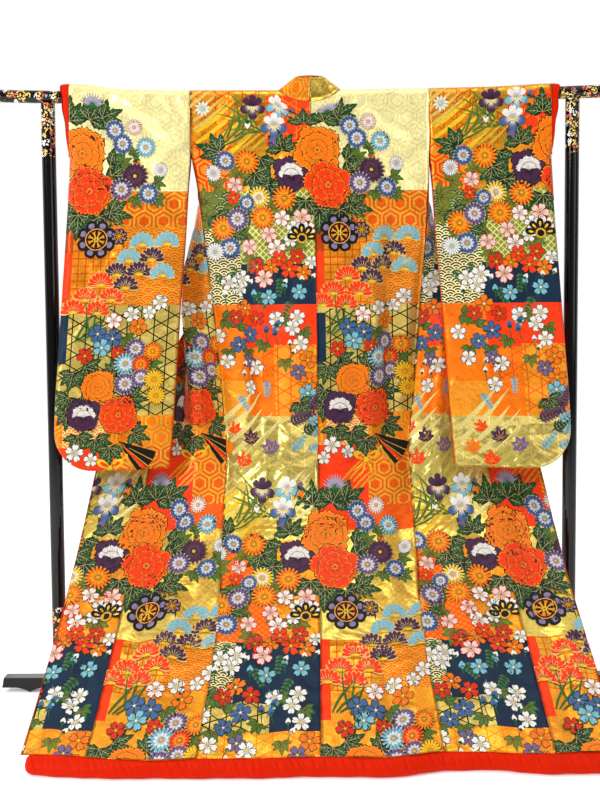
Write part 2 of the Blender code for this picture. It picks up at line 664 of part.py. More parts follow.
def build_stand(lacquer, steel):
    build_bar(lacquer)
    post_bottom = FOOT_SIZE[2] + TOUCH
    seat = BAR_HEIGHT + BAR_SAG
    lowest = BAR_HEIGHT + BAR_SAG * ((POST_X - POST_RADIUS) / POST_X) ** 2
    post_top = lowest - BAR_RADIUS - TOUCH
    outline = rail_outline()
    front, back = RAIL_Y - RAIL_DEPTH / 2, RAIL_Y + RAIL_DEPTH / 2
    vertices = [(x, y, z) for y in (front, back) for x, z in outline]
    count = len(outline)
    faces = [tuple(range(count)), tuple(range(count, 2 * count))]
    faces += [(k, (k + 1) % count, (k + 1) % count + count, k + count) for k in range(count)]
    add("base_rail", mesh_of("base_rail", vertices, faces), lacquer)
    for side, label in ((-1, "left"), (1, "right")):
        rod(f"post_{label}", POST_RADIUS, post_top - post_bottom,
            (side * POST_X, 0.0, (post_top + post_bottom) / 2), (0.0, 0.0, 0.0), lacquer)
        pin_y = -BAR_RADIUS - TOUCH - PIN_HEAD / 2
        rod(f"pin_{label}", PIN_RADIUS, PIN_HEAD, (side * POST_X, pin_y, seat),
            (math.pi / 2, 0.0, 0.0), steel)
        depth, height = FOOT_SIZE[1:]
        bpy.ops.mesh.primitive_cube_add(size=1.0, scale=FOOT_SIZE,
                                        location=(side * POST_X, FOOT_FRONT + depth / 2, height / 2))
        bpy.ops.object.transform_apply(location=False, rotation=False, scale=True)
        foot = bpy.context.object
        foot.name = f"foot_{label}"
        eased = foot.modifiers.new("eased_edges", "BEVEL")
        eased.width = FOOT_EDGE
        eased.segments = 2
        foot.data.materials.append(lacquer)
        take(foot)


def centre_part():
    """Moves the root so that the middle of the part's underside is at the origin."""
    bpy.context.view_layer.update()
    corners = []
    graph = bpy.context.evaluated_depsgraph_get()
    for item in PART.objects:
        if item.type != "EMPTY":
            shape = item.evaluated_get(graph).to_mesh()
            corners += [tuple(item.matrix_world @ vertex.co) for vertex in shape.vertices]
    corners = np.array(corners)
    low, high = corners.min(axis=0), corners.max(axis=0)
    ROOT.location = (-(low[0] + high[0]) / 2, -(low[1] + high[1]) / 2, -low[2])
    print("size", high - low, "root at", tuple(ROOT.location))


PART, ROOT = start()
BROCADE = material("brocade_silk", (0.72, 0.36, 0.05), 0.45, 0.2)
VERMILION = material("vermilion_habutae", (0.85, 0.05, 0.005), 0.5)
LACQUER = material("black_lacquer", (0.006, 0.006, 0.007), 0.12)
STEEL = material("pin_steel", (0.55, 0.55, 0.56), 0.3, 1.0)
for which in (-1, 1):
    build_body(which, BROCADE)
    build_sleeve(which, BROCADE)
    build_cuff(which, VERMILION)
build_hem_roll(VERMILION)
build_stand(LACQUER, STEEL)
centre_part()
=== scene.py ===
# %% [markdown]
# # Uchikake on its iko stand
# The imported solids come first. They fix every size, and each piece made below covers one of them or
# lies on one. The bar's box is measured, to find its axis.

# %% Load the solids
import math

import bmesh
import bpy
import numpy as np
from mathutils import Matrix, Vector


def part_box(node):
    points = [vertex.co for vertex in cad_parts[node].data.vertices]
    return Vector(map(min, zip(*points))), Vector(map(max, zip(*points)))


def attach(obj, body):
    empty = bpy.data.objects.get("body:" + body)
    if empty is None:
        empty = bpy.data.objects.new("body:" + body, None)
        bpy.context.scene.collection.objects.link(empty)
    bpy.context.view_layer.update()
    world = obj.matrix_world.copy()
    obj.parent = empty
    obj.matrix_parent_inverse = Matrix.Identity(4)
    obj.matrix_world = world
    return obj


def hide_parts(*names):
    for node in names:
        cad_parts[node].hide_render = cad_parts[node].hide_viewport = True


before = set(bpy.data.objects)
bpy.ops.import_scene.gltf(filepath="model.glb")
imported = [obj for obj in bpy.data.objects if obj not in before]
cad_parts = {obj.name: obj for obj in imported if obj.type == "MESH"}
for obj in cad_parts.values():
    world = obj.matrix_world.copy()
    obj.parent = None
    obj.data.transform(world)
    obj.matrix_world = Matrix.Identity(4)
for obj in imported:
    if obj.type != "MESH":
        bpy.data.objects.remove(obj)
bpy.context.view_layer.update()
FINE = 1
bar_low, bar_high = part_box("bar")
BAR_Y = (bar_low[1] + bar_high[1]) / 2
print("solids", len(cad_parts), "bar axis at y", round(BAR_Y, 4))

# %% [markdown]
# ## Camera
# The camera stands a little over 3 m in front of the bar, at chest height, and looks slightly down.
# Three small turns aim it: pitch, yaw and a trace of roll.

# %% Camera
CAMERA_AT = (-0.0036, -3.3, 1.018)      # from the bar's axis, metres
PITCH, YAW, ROLL = (math.radians(a) for a in (4.061, -0.493, -0.431))
SENSOR = 24.0
FRAME_HIGH, FOCAL = 800, 1209.5         # height of the frame and focal length, both in pixels

camera_data = bpy.data.cameras.new("camera")
camera_data.sensor_fit = "VERTICAL"
camera_data.sensor_height = SENSOR
camera_data.lens = FOCAL * SENSOR / FRAME_HIGH
camera = bpy.data.objects.new("camera", camera_data)
bpy.context.scene.collection.objects.link(camera)
ahead = np.array([math.sin(YAW) * math.cos(PITCH), math.cos(YAW) * math.cos(PITCH), -math.sin(PITCH)])
level = np.array([math.cos(YAW), -math.sin(YAW), 0.0])
above = np.cross(level, ahead)
right = math.cos(ROLL) * level + math.sin(ROLL) * above
upward = -math.sin(ROLL) * level + math.cos(ROLL) * above
place = np.eye(4)
place[:3, 0], place[:3, 1], place[:3, 2] = right, upward, -ahead
place[:3, 3] = np.array(CAMERA_AT) + (0.0, BAR_Y, 0.0)
camera.matrix_world = Matrix(place.tolist())
bpy.context.scene.camera = camera
print("lens", round(camera_data.lens, 2), "mm")

# %% [markdown]
# ## Floor and light
# A broad pale floor that runs up out of sight, a large soft light from the upper left, a weaker
# one from the right and one above, as in a shop's studio.

# %% Helpers for colour and shader nodes
def linear(hex_colour, alpha=1.0):
    """An sRGB hex colour as the linear values that shaders want."""
    parts = [int(hex_colour[k:k + 2], 16) / 255 for k in (1, 3, 5)]
    return tuple(p / 12.92 if p <= 0.04045 else ((p + 0.055) / 1.055) ** 2.4 for p in parts) + (alpha,)


def join(tree, item, links):
    """Sets a shader node's inputs, or links them to outputs; a node stands for its first output."""
    for key, source in links.items():
        source = source.outputs[0] if hasattr(source, "outputs") else source
        if hasattr(source, "is_output"):
            tree.links.new(source, item.inputs[key])
        else:
            item.inputs[key].default_value = source
    return item


def node(tree, kind, links=None, **settings):
    """Adds one shader node with its settings and links."""
    item = tree.nodes.new("ShaderNode" + kind)
    for key, value in settings.items():
        setattr(item, key, value)
    return join(tree, item, links or {})


def new_material(name, links=None):
    """A material, its tree and its Principled shader with these inputs."""
    surface = bpy.data.materials.new(name)
    surface.use_nodes = True
    tree = surface.node_tree
    return surface, tree, join(tree, tree.nodes["Principled BSDF"], links or {})


def polar(turn, reach=1.0):
    """X and Y of a point at an angle in degrees and a distance."""
    return reach * math.cos(math.radians(turn)), reach * math.sin(math.radians(turn))


print("white is", linear("#FFFFFF"))


# %% Floor, world and lights
bpy.context.scene.view_settings.view_transform = "Standard"
bpy.ops.object.select_all(action="DESELECT")
bpy.ops.mesh.primitive_plane_add(size=14.0, location=(0.0, 2.0, 0.0))
floor = bpy.context.object
floor.name = "studio_floor"
# Matt emulsion paint. The faint glow keeps the far floor as white as the backdrop.
floor_paint, _, _ = new_material("pale_floor_paint", {
    "Base Color": linear("#FCFBFA"), "Roughness": 0.9,
    "Emission Color": linear("#FFFFFF"), "Emission Strength": 0.22})
floor.data.materials.append(floor_paint)
bpy.ops.object.transform_apply(location=True, rotation=True, scale=True)

world = bpy.data.worlds.new("studio_air")
bpy.context.scene.world = world
world.use_nodes = True
# A white backdrop behind the stand, and a dim room with a bright ceiling and soft screens in front
# of it, so that gold thread has something to mirror.
air = world.node_tree
around = node(air, "TexCoord").outputs["Generated"]
facing = node(air, "SeparateXYZ", {0: around})
room = node(air, "MapRange", {0: facing.outputs[2], 1: 0.15, 2: 0.80, 3: 0.11, 4: 0.85})
screens = node(air, "TexNoise", {"Vector": around, "Scale": 3.4, "Detail": 0.0})
screens = node(air, "MapRange", {0: screens, 1: 0.42, 2: 0.58, 3: 0.25, 4: 1.75})
room = node(air, "Math", {0: room, 1: screens}, operation="MULTIPLY")
glow = node(air, "MapRange", {0: facing.outputs[1], 1: -0.25, 2: 0.25, 3: room, 4: 1.0})
join(air, air.nodes["Background"], {"Color": linear("#FFFFFF"), "Strength": glow})


def soft_light(name, location, aim, size, power):
    """A square area light turned towards a point."""
    data = bpy.data.lights.new(name, "AREA")
    data.size, data.energy = size, power
    lamp = bpy.data.objects.new(name, data)
    bpy.context.scene.collection.objects.link(lamp)
    back = np.array(location) - np.array(aim)
    back = back / np.linalg.norm(back)
    side = np.cross((0.0, 0.0, 1.0), back)
    side = side / np.linalg.norm(side)
    turn = np.eye(4)
    turn[:3, 0], turn[:3, 1], turn[:3, 2], turn[:3, 3] = side, np.cross(back, side), back, location
    lamp.matrix_world = Matrix(turn.tolist())


soft_light("key_light", (-3.1, -2.9, 2.5), (0.0, 0.0, 0.9), 0.8, 128.0)
soft_light("fill_light", (2.8, -2.6, 1.6), (0.0, 0.0, 0.8), 1.6, 18.0)
soft_light("top_light", (0.2, -0.7, 4.2), (0.0, 0.1, 0.8), 1.6, 24.0)
soft_light("back_light", (-0.6, 4.0, 2.4), (0.0, 0.3, 0.9), 2.4, 16.0)

# %% [markdown]
# ## How the cloth hangs
# An uchikake is sewn from straight widths of brocade. Folded over the bar, its back hangs straight,
# swings away at the side seams and runs out on the floor; its fronts hang behind in one deep fold
# and come round as wings at the hem. Cloth does not stretch, so it is best described as lines at
# distances down from the shoulder fold, in the same frame and sizes as the solids under it.

# %% Sizes of the garment, in metres
BAR_RADIUS, BAR_HEIGHT, BAR_SAG, POST_X = 0.017, 1.597, 0.009, 0.705
SAG_FADE = (0.05, 0.35)     # the cloth follows the bar's sag down to the first, not below the second
WALL, SEAM = 0.003, 0.0003  # thickness of the cloth, and the gap between two panels
SEAM_LAP = 0.0022           # the middle of a rim reaches this far under its neighbour
BAR_WRAP = (BAR_RADIUS + SEAM) / math.cos(math.radians(20)) + WALL
QUARTER = BAR_WRAP * math.pi / 2
LENGTH, FALL_START = 1.930, 1.000
HEM_SEAM = (-0.690, 0.0435)                                 # Y and Z where the centre back ends
PULL_DOWN, PULL_BACK = (0.0, -0.200), (0.318, 0.200)        # how the run-out bends, at its two ends
NECK_HALF, NECK_DROP, NECK_PRESSED = 0.083, 0.046, 0.115
ARMHOLE, SIDE_SEAM_TOP = 0.160, 0.280
COLLAR_WIDTH, COLLAR_END = 0.055, 0.930
OKUMI_TOP, OKUMI_AT_COLLAR = 0.300, 0.092
BOW = 2.6                   # a back panel is straight in its middle and swings away by this power
SLEEVE_LENGTH, SLEEVE_CORNER, CUFF = 1.032, 0.105, 0.200
CUFF_LIFT = {-1: 0.014, 1: 0.004}       # how far the outer end of each sleeve stands off the bar

# At each distance down: how far the whole leans to one side, then the side seam and the free edge,
# each as its distance out from the middle and back from the centre line, and the front's width.
BODY = {
    "down":          (QUARTER, 0.075, ARMHOLE, 0.280, 0.420, 0.560, 0.720, 0.860, 1.000, 1.100,
                      1.250, 1.450, 1.650, 1.800, LENGTH),
    "lean":          (0.000, 0.000, 0.000, 0.008, 0.012, 0.014, 0.016, 0.016, 0.016, 0.016,
                      0.016, 0.016, 0.016, 0.015, 0.014),
    "side":          (0.320, 0.320, 0.319, 0.311, 0.301, 0.289, 0.277, 0.266, 0.255, 0.257,
                      0.259, 0.255, 0.258, 0.268, 0.277),
    "side_set_back": (BAR_WRAP, BAR_WRAP, BAR_WRAP, 0.023, 0.050, 0.080, 0.105, 0.105, 0.082, 0.060,
                      0.040, 0.022, 0.010, 0.004, 0.000),
    "edge":          (0.028, 0.029, 0.080, 0.160, 0.240, 0.320, 0.415, 0.515, 0.612, 0.628,
                      0.638, 0.646, 0.655, 0.661, 0.668),
    "edge_set_back": (2 * BAR_WRAP, 0.050, 0.080, 0.125, 0.165, 0.195, 0.205, 0.180, 0.118, 0.078,
                      0.045, 0.022, 0.010, 0.004, 0.000),
    "front_width":   (0.237, 0.238, 0.239, 0.240, 0.240, 0.238, 0.236, 0.232, 0.228, 0.227,
                      0.232, 0.240, 0.248, 0.247, 0.247),
}
# How far forward of a straight line the hem lies.
HEM = {
    "across":  (-0.660, -0.460, -0.150, 0.020, 0.150, 0.210, 0.290, 0.380, 0.460, 0.530, 0.660),
    "forward": (-0.020, 0.008, 0.010, 0.002, 0.008, -0.004, -0.028, -0.034, -0.018, -0.006, -0.012),
}
HEM_WAVE_START = 1.150
# At each distance down: a sleeve's two edges, half the gap between its layers, its swing forward.
SLEEVE = {
    "down":     (0.0, 0.160, 0.280, 0.420, 0.560, 0.720, 0.860, 1.000, 1.032),
    "inner":    (0.3206, 0.3206, 0.330, 0.340, 0.353, 0.365, 0.376, 0.388, 0.391),
    "outer":    (0.644, 0.646, 0.651, 0.660, 0.670, 0.683, 0.694, 0.699, 0.700),
    "half_gap": (BAR_WRAP, BAR_WRAP, 0.016, 0.013, 0.012, 0.012, 0.012, 0.012, 0.012),
    "forward":  (0.000, 0.004, 0.014, 0.028, 0.040, 0.046, 0.050, 0.052, 0.053),
}
# The collar's free edge round the neck, from the bar's axis: five rows behind it, three over the bar.
COLLAR_EDGE = {
    "row":  tuple(range(8)),
    "out":  (0.000, 0.024, 0.040, 0.044, 0.038, 0.034, 0.031, 0.029),
    "back": (-0.0190, -0.0160, -0.0090, 0.0030, 0.0180, 0.0285, 0.0345, 0.0390),
    "high": (0.0550, 0.0545, 0.0530, 0.0500, 0.0450, 0.0345, 0.0205, 0.0050),
}
NECK_TURNS = np.radians((0.0, 30.0, 55.0, 75.0, 90.0))      # of the first five rows
print("garment", LENGTH, "m long, sleeves", SLEEVE_LENGTH, "m deep")


# %% Curves through a table's rows
def follow(table, key, column, at):
    """Value of a table's column at a key, on a smooth curve that never overshoots its rows."""
    xs = np.array(table[key], dtype=float)
    ys = np.array(table[column])
    at = np.clip(np.asarray(at, dtype=float), xs[0], xs[-1])
    step = np.diff(xs)
    rise = np.diff(ys) / step
    slope = np.zeros(len(xs))
    same_way = rise[:-1] * rise[1:] > 0
    total = np.where(same_way, rise[:-1] + rise[1:], 1.0)
    slope[1:-1] = np.where(same_way, 2 * rise[:-1] * rise[1:] / total, 0.0)
    slope[0], slope[-1] = rise[0], rise[-1]
    k = np.clip(np.searchsorted(xs, at, side="right") - 1, 0, len(step) - 1)
    t = (at - xs[k]) / step[k]
    return (ys[k] * (1 + 2 * t) * (1 - t) ** 2 + step[k] * slope[k] * t * (1 - t) ** 2
            + ys[k + 1] * t * t * (3 - 2 * t) + step[k] * slope[k + 1] * t * t * (t - 1))


def ease(low, high, value):
    """0 below low, 1 above high, and smooth between."""
    t = np.clip((value - low) / (high - low), 0.0, 1.0)
    return t * t * (3 - 2 * t)


def spread(points, distances):
    """Points at given distances along a polyline."""
    steps = np.linalg.norm(np.diff(points, axis=0), axis=1)
    along = np.concatenate(([0.0], np.cumsum(steps)))
    return np.stack([np.interp(distances, along, points[:, k]) for k in range(points.shape[1])],
                    axis=-1)


def fall_curve():
    """The centre back's run-out in Y and Z, from straight down to the hem seam."""
    top = np.array([-BAR_WRAP, BAR_HEIGHT - (FALL_START - QUARTER)])
    hem = np.array(HEM_SEAM)
    pull_down, pull_back = top + PULL_DOWN, hem + PULL_BACK
    t = np.linspace(0.0, 1.0, 400)[:, None]
    return ((1 - t) ** 3 * top + 3 * (1 - t) ** 2 * t * pull_down
            + 3 * (1 - t) * t * t * pull_back + t ** 3 * hem)


FALL = fall_curve()
FALL_LENGTH = float(np.linalg.norm(np.diff(FALL, axis=0), axis=1).sum())


def centre_line(down):
    """Y and Z of the centre back at distances down from the shoulder fold."""
    down = np.asarray(down, dtype=float)
    turn = np.minimum(down, QUARTER) / BAR_WRAP
    y = -BAR_WRAP * np.sin(turn)
    z = BAR_HEIGHT + BAR_WRAP * np.cos(turn) - np.maximum(down - QUARTER, 0.0)
    share = np.clip((down - FALL_START) / (LENGTH - FALL_START), 0.0, 1.0)
    run = spread(FALL, share * FALL_LENGTH)
    below = down > FALL_START
    return np.where(below, run[..., 0], y), np.where(below, run[..., 1], z)


def sag(x, down):
    """Height that the bar's bow adds to the cloth on it, fading out below."""
    return BAR_SAG * (x / POST_X) ** 2 * (1 - ease(*SAG_FADE, down))


def hem_forward(x, down):
    """Forward shift of the skirt near the hem, which is not laid quite straight."""
    return ease(HEM_WAVE_START, LENGTH, down) * follow(HEM, "across", "forward", x)


print("centre back runs out to", np.round(FALL[-1], 3))


# %% Surfaces of the panels
def back_surface(side, down, share):
    """Outer face of a back panel, at distances down and shares from centre to side seam."""
    down, share = np.broadcast_arrays(np.asarray(down, float), np.asarray(share, float))
    y, z = centre_line(down)
    opening = BAR_WRAP * (1 - ease(ARMHOLE, SIDE_SEAM_TOP, down))
    set_back = np.where(down > QUARTER, follow(BODY, "down", "side_set_back", down) - opening, 0.0)
    x = follow(BODY, "down", "lean", down) + side * follow(BODY, "down", "side", down) * share
    return np.stack((x, y + set_back * share ** BOW - hem_forward(x, down), z + sag(x, down)), axis=-1)


def neck_depth(share):
    """Back neckline's distance down from the shoulder fold at a share of the back's width."""
    reach = np.maximum(0.0, 1 - (share * BODY["side"][0] / NECK_HALF) ** 2)
    return NECK_DROP * np.sqrt(reach)


def okumi_width(down):
    """Okumi at one distance down: a point at its top, full width from the collar's end on."""
    if down <= COLLAR_END:
        return OKUMI_AT_COLLAR * max(0.0, (down - OKUMI_TOP) / (COLLAR_END - OKUMI_TOP))
    return OKUMI_AT_COLLAR + COLLAR_WIDTH


def front_length(down):
    """Cloth from the side seam to the free edge: front, okumi and collar."""
    collar = COLLAR_WIDTH if down <= COLLAR_END else 0.0
    return float(follow(BODY, "down", "front_width", down)) + okumi_width(down) + collar


def front_row(side, down, distances):
    """Outer face of a front at one distance down, at distances from the side seam.

    The cloth runs from the side seam to the free edge in one S-shaped fold, deep enough to
    take up its whole width.
    """
    distances = np.asarray(distances, dtype=float)
    if down < QUARTER:
        turn = down / BAR_WRAP
        x = float(follow(BODY, "down", "side", down)) - distances
        y = np.full_like(x, BAR_WRAP * math.sin(turn))
        z = BAR_HEIGHT + BAR_WRAP * math.cos(turn) + sag(x, down)
        return np.stack((side * x, y, z), axis=1)
    y, z = centre_line(down)
    opening = BAR_WRAP * (1 - ease(ARMHOLE, SIDE_SEAM_TOP, down))
    seam = np.array([follow(BODY, "down", "side", down),
                     follow(BODY, "down", "side_set_back", down) + opening])
    edge = np.array([follow(BODY, "down", "edge", down), follow(BODY, "down", "edge_set_back", down)])
    chord = edge - seam
    across = np.array([chord[1], -chord[0]]) / np.linalg.norm(chord)
    t = np.linspace(0.0, 1.0, 161)[:, None]
    wanted = front_length(down)
    shallow, deep = 0.0, 0.2
    for _ in range(22):
        depth = (shallow + deep) / 2
        curve = seam + t * chord + depth * np.sin(2 * np.pi * t) * across
        length = np.linalg.norm(np.diff(curve, axis=0), axis=1).sum()
        shallow, deep = (depth, deep) if length < wanted else (shallow, depth)
    run = spread(curve, distances * length / wanted)
    x = float(follow(BODY, "down", "lean", down)) + side * run[:, 0]
    return np.stack((x, y + run[:, 1] - hem_forward(x, down), z + sag(x, down)), axis=1)


def outward(grid, side):
    """Outward directions on a grid of points, rows down and columns outward."""
    out = np.cross(np.gradient(grid, axis=0), np.gradient(grid, axis=1)) * side
    return out / np.linalg.norm(out, axis=2, keepdims=True)


print("front is", round(front_length(0.8), 3), "m wide at 0.8 m down")

# %% [markdown]
# ## Creases
# Silk that was stored folded keeps its fold lines, and cloth that hangs from a seam pulls into long
# soft troughs. A cloth simulation would drape it anew and lose the real lines, so each crease is
# listed: where it starts and ends on the panel, how wide it is and how deep. Both kinds are
# then deepened, so that they show under the woven pattern.

# %% Creases
# Across and down the panel at one end and at the other, width and depth, all in millimetres. A
# negative depth is a ridge.
CREASES = {
    "back_left": (
        (-20, 300, 300, 290, 9, 2.2), (-20, 312, 300, 300, 13, -1.6), (-20, 1195, 280, 1205, 10, 2.7),
        (-20, 1213, 280, 1222, 14, -2.4), (-20, 1575, 280, 1590, 10, 2.7),
        (-20, 1592, 280, 1606, 14, -2.2), (225, 380, 195, 980, 28, 8.5), (165, 450, 145, 1020, 30, -5.5),
        (120, 700, 115, 1250, 22, 3), (215, 1100, 225, 1520, 26, 5), (60, 160, 230, 300, 26, 3),
        (245, 40, 290, 270, 22, 2.8), (120, 1660, 135, 1900, 20, 3.6), (205, 1620, 225, 1920, 24, 5),
        (165, 1640, 180, 1920, 22, -3), (60, 1700, 65, 1920, 22, -2), (20, 990, 240, 800, 34, 4.5),
        (40, 1090, 250, 900, 30, -3)),
    "back_right": (
        (-20, 318, 300, 322, 9, 2.4), (-20, 330, 300, 335, 13, -1.9), (-20, 1192, 280, 1196, 10, 3),
        (-20, 1210, 280, 1214, 14, -2.4), (-20, 1580, 280, 1596, 10, 2.7),
        (-20, 1597, 280, 1612, 14, -2.2), (90, 60, 290, 190, 20, 4.2), (130, 50, 300, 150, 22, -3.4),
        (60, 140, 250, 290, 24, 3), (225, 240, 190, 980, 32, 9.5), (160, 360, 135, 1000, 32, -6),
        (105, 780, 110, 1220, 22, 3), (215, 1120, 220, 1540, 26, 4.8), (75, 1640, 85, 1920, 20, 3.4),
        (150, 1600, 165, 1920, 22, 4.8), (205, 1620, 225, 1920, 24, -3), (60, 660, 230, 520, 32, 4.5),
        (50, 1060, 240, 930, 30, 3.5)),
    "front": (
        (-20, 1196, 280, 1200, 10, 2.4), (-20, 1580, 280, 1592, 10, 2.4), (70, 300, 75, 1100, 24, 4),
        (160, 400, 150, 1200, 26, -4), (60, 1300, 50, 1880, 24, 5), (125, 1350, 120, 1900, 26, -4.5),
        (185, 1250, 190, 1860, 22, 4.2), (-20, 310, 280, 306, 9, 2.2), (20, 1280, 210, 1060, 32, 4.5),
        (20, 860, 200, 1000, 30, 3.5)),
    "okumi": (
        (-20, 1200, 200, 1192, 10, 2.4), (-20, 1592, 200, 1584, 10, 2.7), (50, 1100, 45, 1600, 22, 3.6),
        (100, 1300, 95, 1860, 22, -3.6), (55, 1620, 60, 1900, 20, 4)),
    "sleeve_left": (
        (-60, 248, 360, 262, 9, 2.7), (-60, 262, 360, 276, 13, -1.9), (-60, 545, 360, 550, 9, 2.7),
        (-60, 560, 360, 565, 13, -1.9), (70, 30, 260, 150, 20, 4), (110, 30, 290, 125, 20, -3.2),
        (40, 90, 240, 230, 22, 2.6), (-60, 860, 360, 850, 9, 1.6), (110, 600, 95, 980, 30, 3),
        (220, 300, 205, 800, 30, 3.2)),
    "sleeve_right": (
        (-60, 288, 360, 280, 9, 2.7), (-60, 302, 360, 294, 13, -1.9), (-60, 905, 360, 938, 11, 3),
        (-60, 925, 360, 958, 15, -2.7), (10, 655, 300, 672, 14, 2.2), (20, 700, 310, 716, 14, -2.4),
        (10, 752, 300, 740, 14, 2.2), (30, 800, 280, 818, 15, -2.4), (10, 845, 310, 836, 14, 2),
        (120, 60, 250, 240, 22, 2.8), (80, 350, 100, 620, 30, 3), (200, 360, 190, 880, 32, -2.8)),
}
BROAD_FROM = 0.017                      # folds wider than this, in metres, are broad
BROAD_FOLDS, SHARP_FOLDS = 1.85, 1.45   # how much broad folds and sharp ones are deepened


def crease_depth(table, across, down):
    """How far the cloth's face sinks at points of a panel."""
    sunk = np.zeros_like(across)
    for a0, d0, a1, d1, width, depth in np.array(CREASES[table]) / 1000:
        depth *= BROAD_FOLDS if width > BROAD_FROM else SHARP_FOLDS
        step = np.array([a1 - a0, d1 - d0])
        length = float(step @ step)
        t = np.clip(((across - a0) * step[0] + (down - d0) * step[1]) / length, 0.0, 1.0)
        gap = np.hypot(across - a0 - t * step[0], down - d0 - t * step[1])
        tail = np.minimum(1.0, 3.0 * np.minimum(t, 1 - t) + 0.15)
        sunk += depth * tail * np.exp(-(gap / width) ** 2)
    return sunk


print("creases laid by hand", sum(len(rows) for rows in CREASES.values()))

# %% [markdown]
# ## Making a wall of cloth
# Every panel is brocade outside and vermilion silk inside, with thin wadding between. One helper
# closes a grid of outside points into such a wall, with a soft rounded rim, and keeps for each
# point how far across and down its width of cloth it lies. The woven pattern is laid by that.

# %% Walls of cloth
PANELS = {}         # name of each face of cloth: its grid and its place on the woven width


def cloth_object(name, points, faces, across, down, surfaces, linings):
    """A mesh with its place on the cloth as a UV map; faces in linings take the second material."""
    mesh = bpy.data.meshes.new(name)
    mesh.from_pydata([tuple(p) for p in points.tolist()], [], faces)
    for surface in surfaces:
        mesh.materials.append(surface)
    mesh.polygons.foreach_set("material_index", linings)
    mesh.polygons.foreach_set("use_smooth", [True] * len(faces))
    corners = np.empty(len(mesh.loops), dtype=np.int32)
    mesh.loops.foreach_get("vertex_index", corners)
    layer = mesh.uv_layers.new(name="cloth")
    layer.data.foreach_set("uv", np.stack((across[corners], down[corners]), axis=1).ravel())
    item = bpy.data.objects.new(name, mesh)
    bpy.context.scene.collection.objects.link(item)
    return item


def keep_panel(name, unit, grid, out, across, downs):
    """Notes a face of cloth, so that the weave can be laid on it afterwards."""
    PANELS[name] = {"unit": unit, "grid": grid, "out": out, "across": across, "downs": downs}


def quads(number, flip=False):
    """Four-sided faces over a grid of point numbers."""
    faces = np.stack((number[:-1, :-1], number[1:, :-1], number[1:, 1:], number[:-1, 1:]), axis=-1)
    return faces.reshape(-1, 4)[:, (0, 3, 2, 1) if flip else (0, 1, 2, 3)]


def mend_normals(piece):
    """Turns all the faces of a closed piece outwards."""
    work = bmesh.new()
    work.from_mesh(piece.data)
    bmesh.ops.recalc_face_normals(work, faces=work.faces)
    work.to_mesh(piece.data)
    work.free()


def stand_for(piece, node_name):
    """The piece rides with the part's one body and takes the place of a solid."""
    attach(piece, "root")
    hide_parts(node_name)


def wall(name, outer, out, across, down, surfaces, thick=WALL, valley=0.0010):
    """A closed wall of cloth behind a grid of outside points, sunk by a shallow valley at its seams."""
    rows, columns = outer.shape[:2]
    outer = outer.copy()
    inner = outer - out * thick
    dip = np.zeros((rows, columns, 1))
    dip[:, 0] = dip[:, -1] = valley
    dip[0] = dip[-1] = valley / 2
    outer -= out * dip
    inner += out * dip / 2
    count = rows * columns
    square = np.arange(count).reshape(rows, columns)
    turned = np.cross(outer[1, 0] - outer[0, 0], outer[0, 1] - outer[0, 0]) @ out[0, 0] < 0
    faces = quads(square, turned).tolist() + (quads(square, not turned) + count).tolist()
    ring = np.concatenate((square[:, 0], square[-1, 1:], square[-2::-1, -1], square[0, -2:0:-1]))
    under = np.zeros_like(outer)
    for edge, near in ((0, 1), (-1, -2)):
        step = outer[:, edge] - outer[:, near]
        under[:, edge] = step / np.linalg.norm(step, axis=1, keepdims=True) * SEAM_LAP
    centre = ((outer + inner) / 2 + under).reshape(-1, 3)[ring]
    points = np.concatenate((outer.reshape(-1, 3), inner.reshape(-1, 3), centre))
    middle = 2 * count + np.arange(len(ring))
    following = np.roll(np.arange(len(ring)), -1)
    rim = []
    for low, high in ((ring, middle), (middle, ring + count)):
        rim += np.stack((low, low[following], high[following], high), axis=1).tolist()
    if turned:
        rim = [face[::-1] for face in rim]
    half = len(faces) // 2
    linings = [0] * half + [1] * (half + len(rim))
    flat = [np.concatenate((values.ravel(), values.ravel(), values.ravel()[ring]))
            for values in (across, down)]
    points += (0.0, BAR_Y, 0.0)
    return cloth_object(name, points, faces + rim, flat[0], flat[1], surfaces, linings)


def inset(points):
    """Moves the first and last columns of a grid in by half a seam's gap."""
    moved = points.copy()
    for edge, near in ((0, 1), (-1, -2)):
        step = points[:, near] - points[:, edge]
        moved[:, edge] += step / np.linalg.norm(step, axis=1, keepdims=True) * SEAM / 2
    return moved


print("wall of cloth", WALL * 1000, "mm")

# %% [markdown]
# ## Plain finishes first
# Three silks: the brocade, whose weave is added further down, the vermilion lining, which is a thin
# satin, and the same satin drawn tight over wadding in the hem roll.

# %% Silks
brocade, _, _ = new_material("woven_silk_brocade")
# Plain-woven silk dyed with safflower: deep and matt, with hardly any shine of its own.
lining, _, _ = new_material("vermilion_silk_lining", {
    "Base Color": linear("#CC1E00"), "Roughness": 0.5, "Specular IOR Level": 0.05})
SILKS = (brocade, lining)
print("silks", [silk.name for silk in SILKS])

# %% [markdown]
# ## Back, front, okumi and collar
# The panels are cut straight from one width of cloth and sewn edge to edge. Each is a grid with rows
# 6 mm apart, fine enough for the narrow fold lines, and columns 9 mm apart, because most lines run
# across. It follows its solid's outer form.

# %% Making a panel
STEP, STEP_ACROSS, SLEEVE_ACROSS = 0.006 * FINE, 0.009 * FINE, 0.0075 * FINE
OVER_BAR = np.linspace(0.0, QUARTER, 7)[:-1]
DOWNS = np.concatenate((OVER_BAR, np.arange(QUARTER, LENGTH, STEP), [LENGTH]))


def columns_for(width, spacing=STEP_ACROSS):
    """Number of columns at the working spacing over a width."""
    return int(round(width / spacing)) + 1


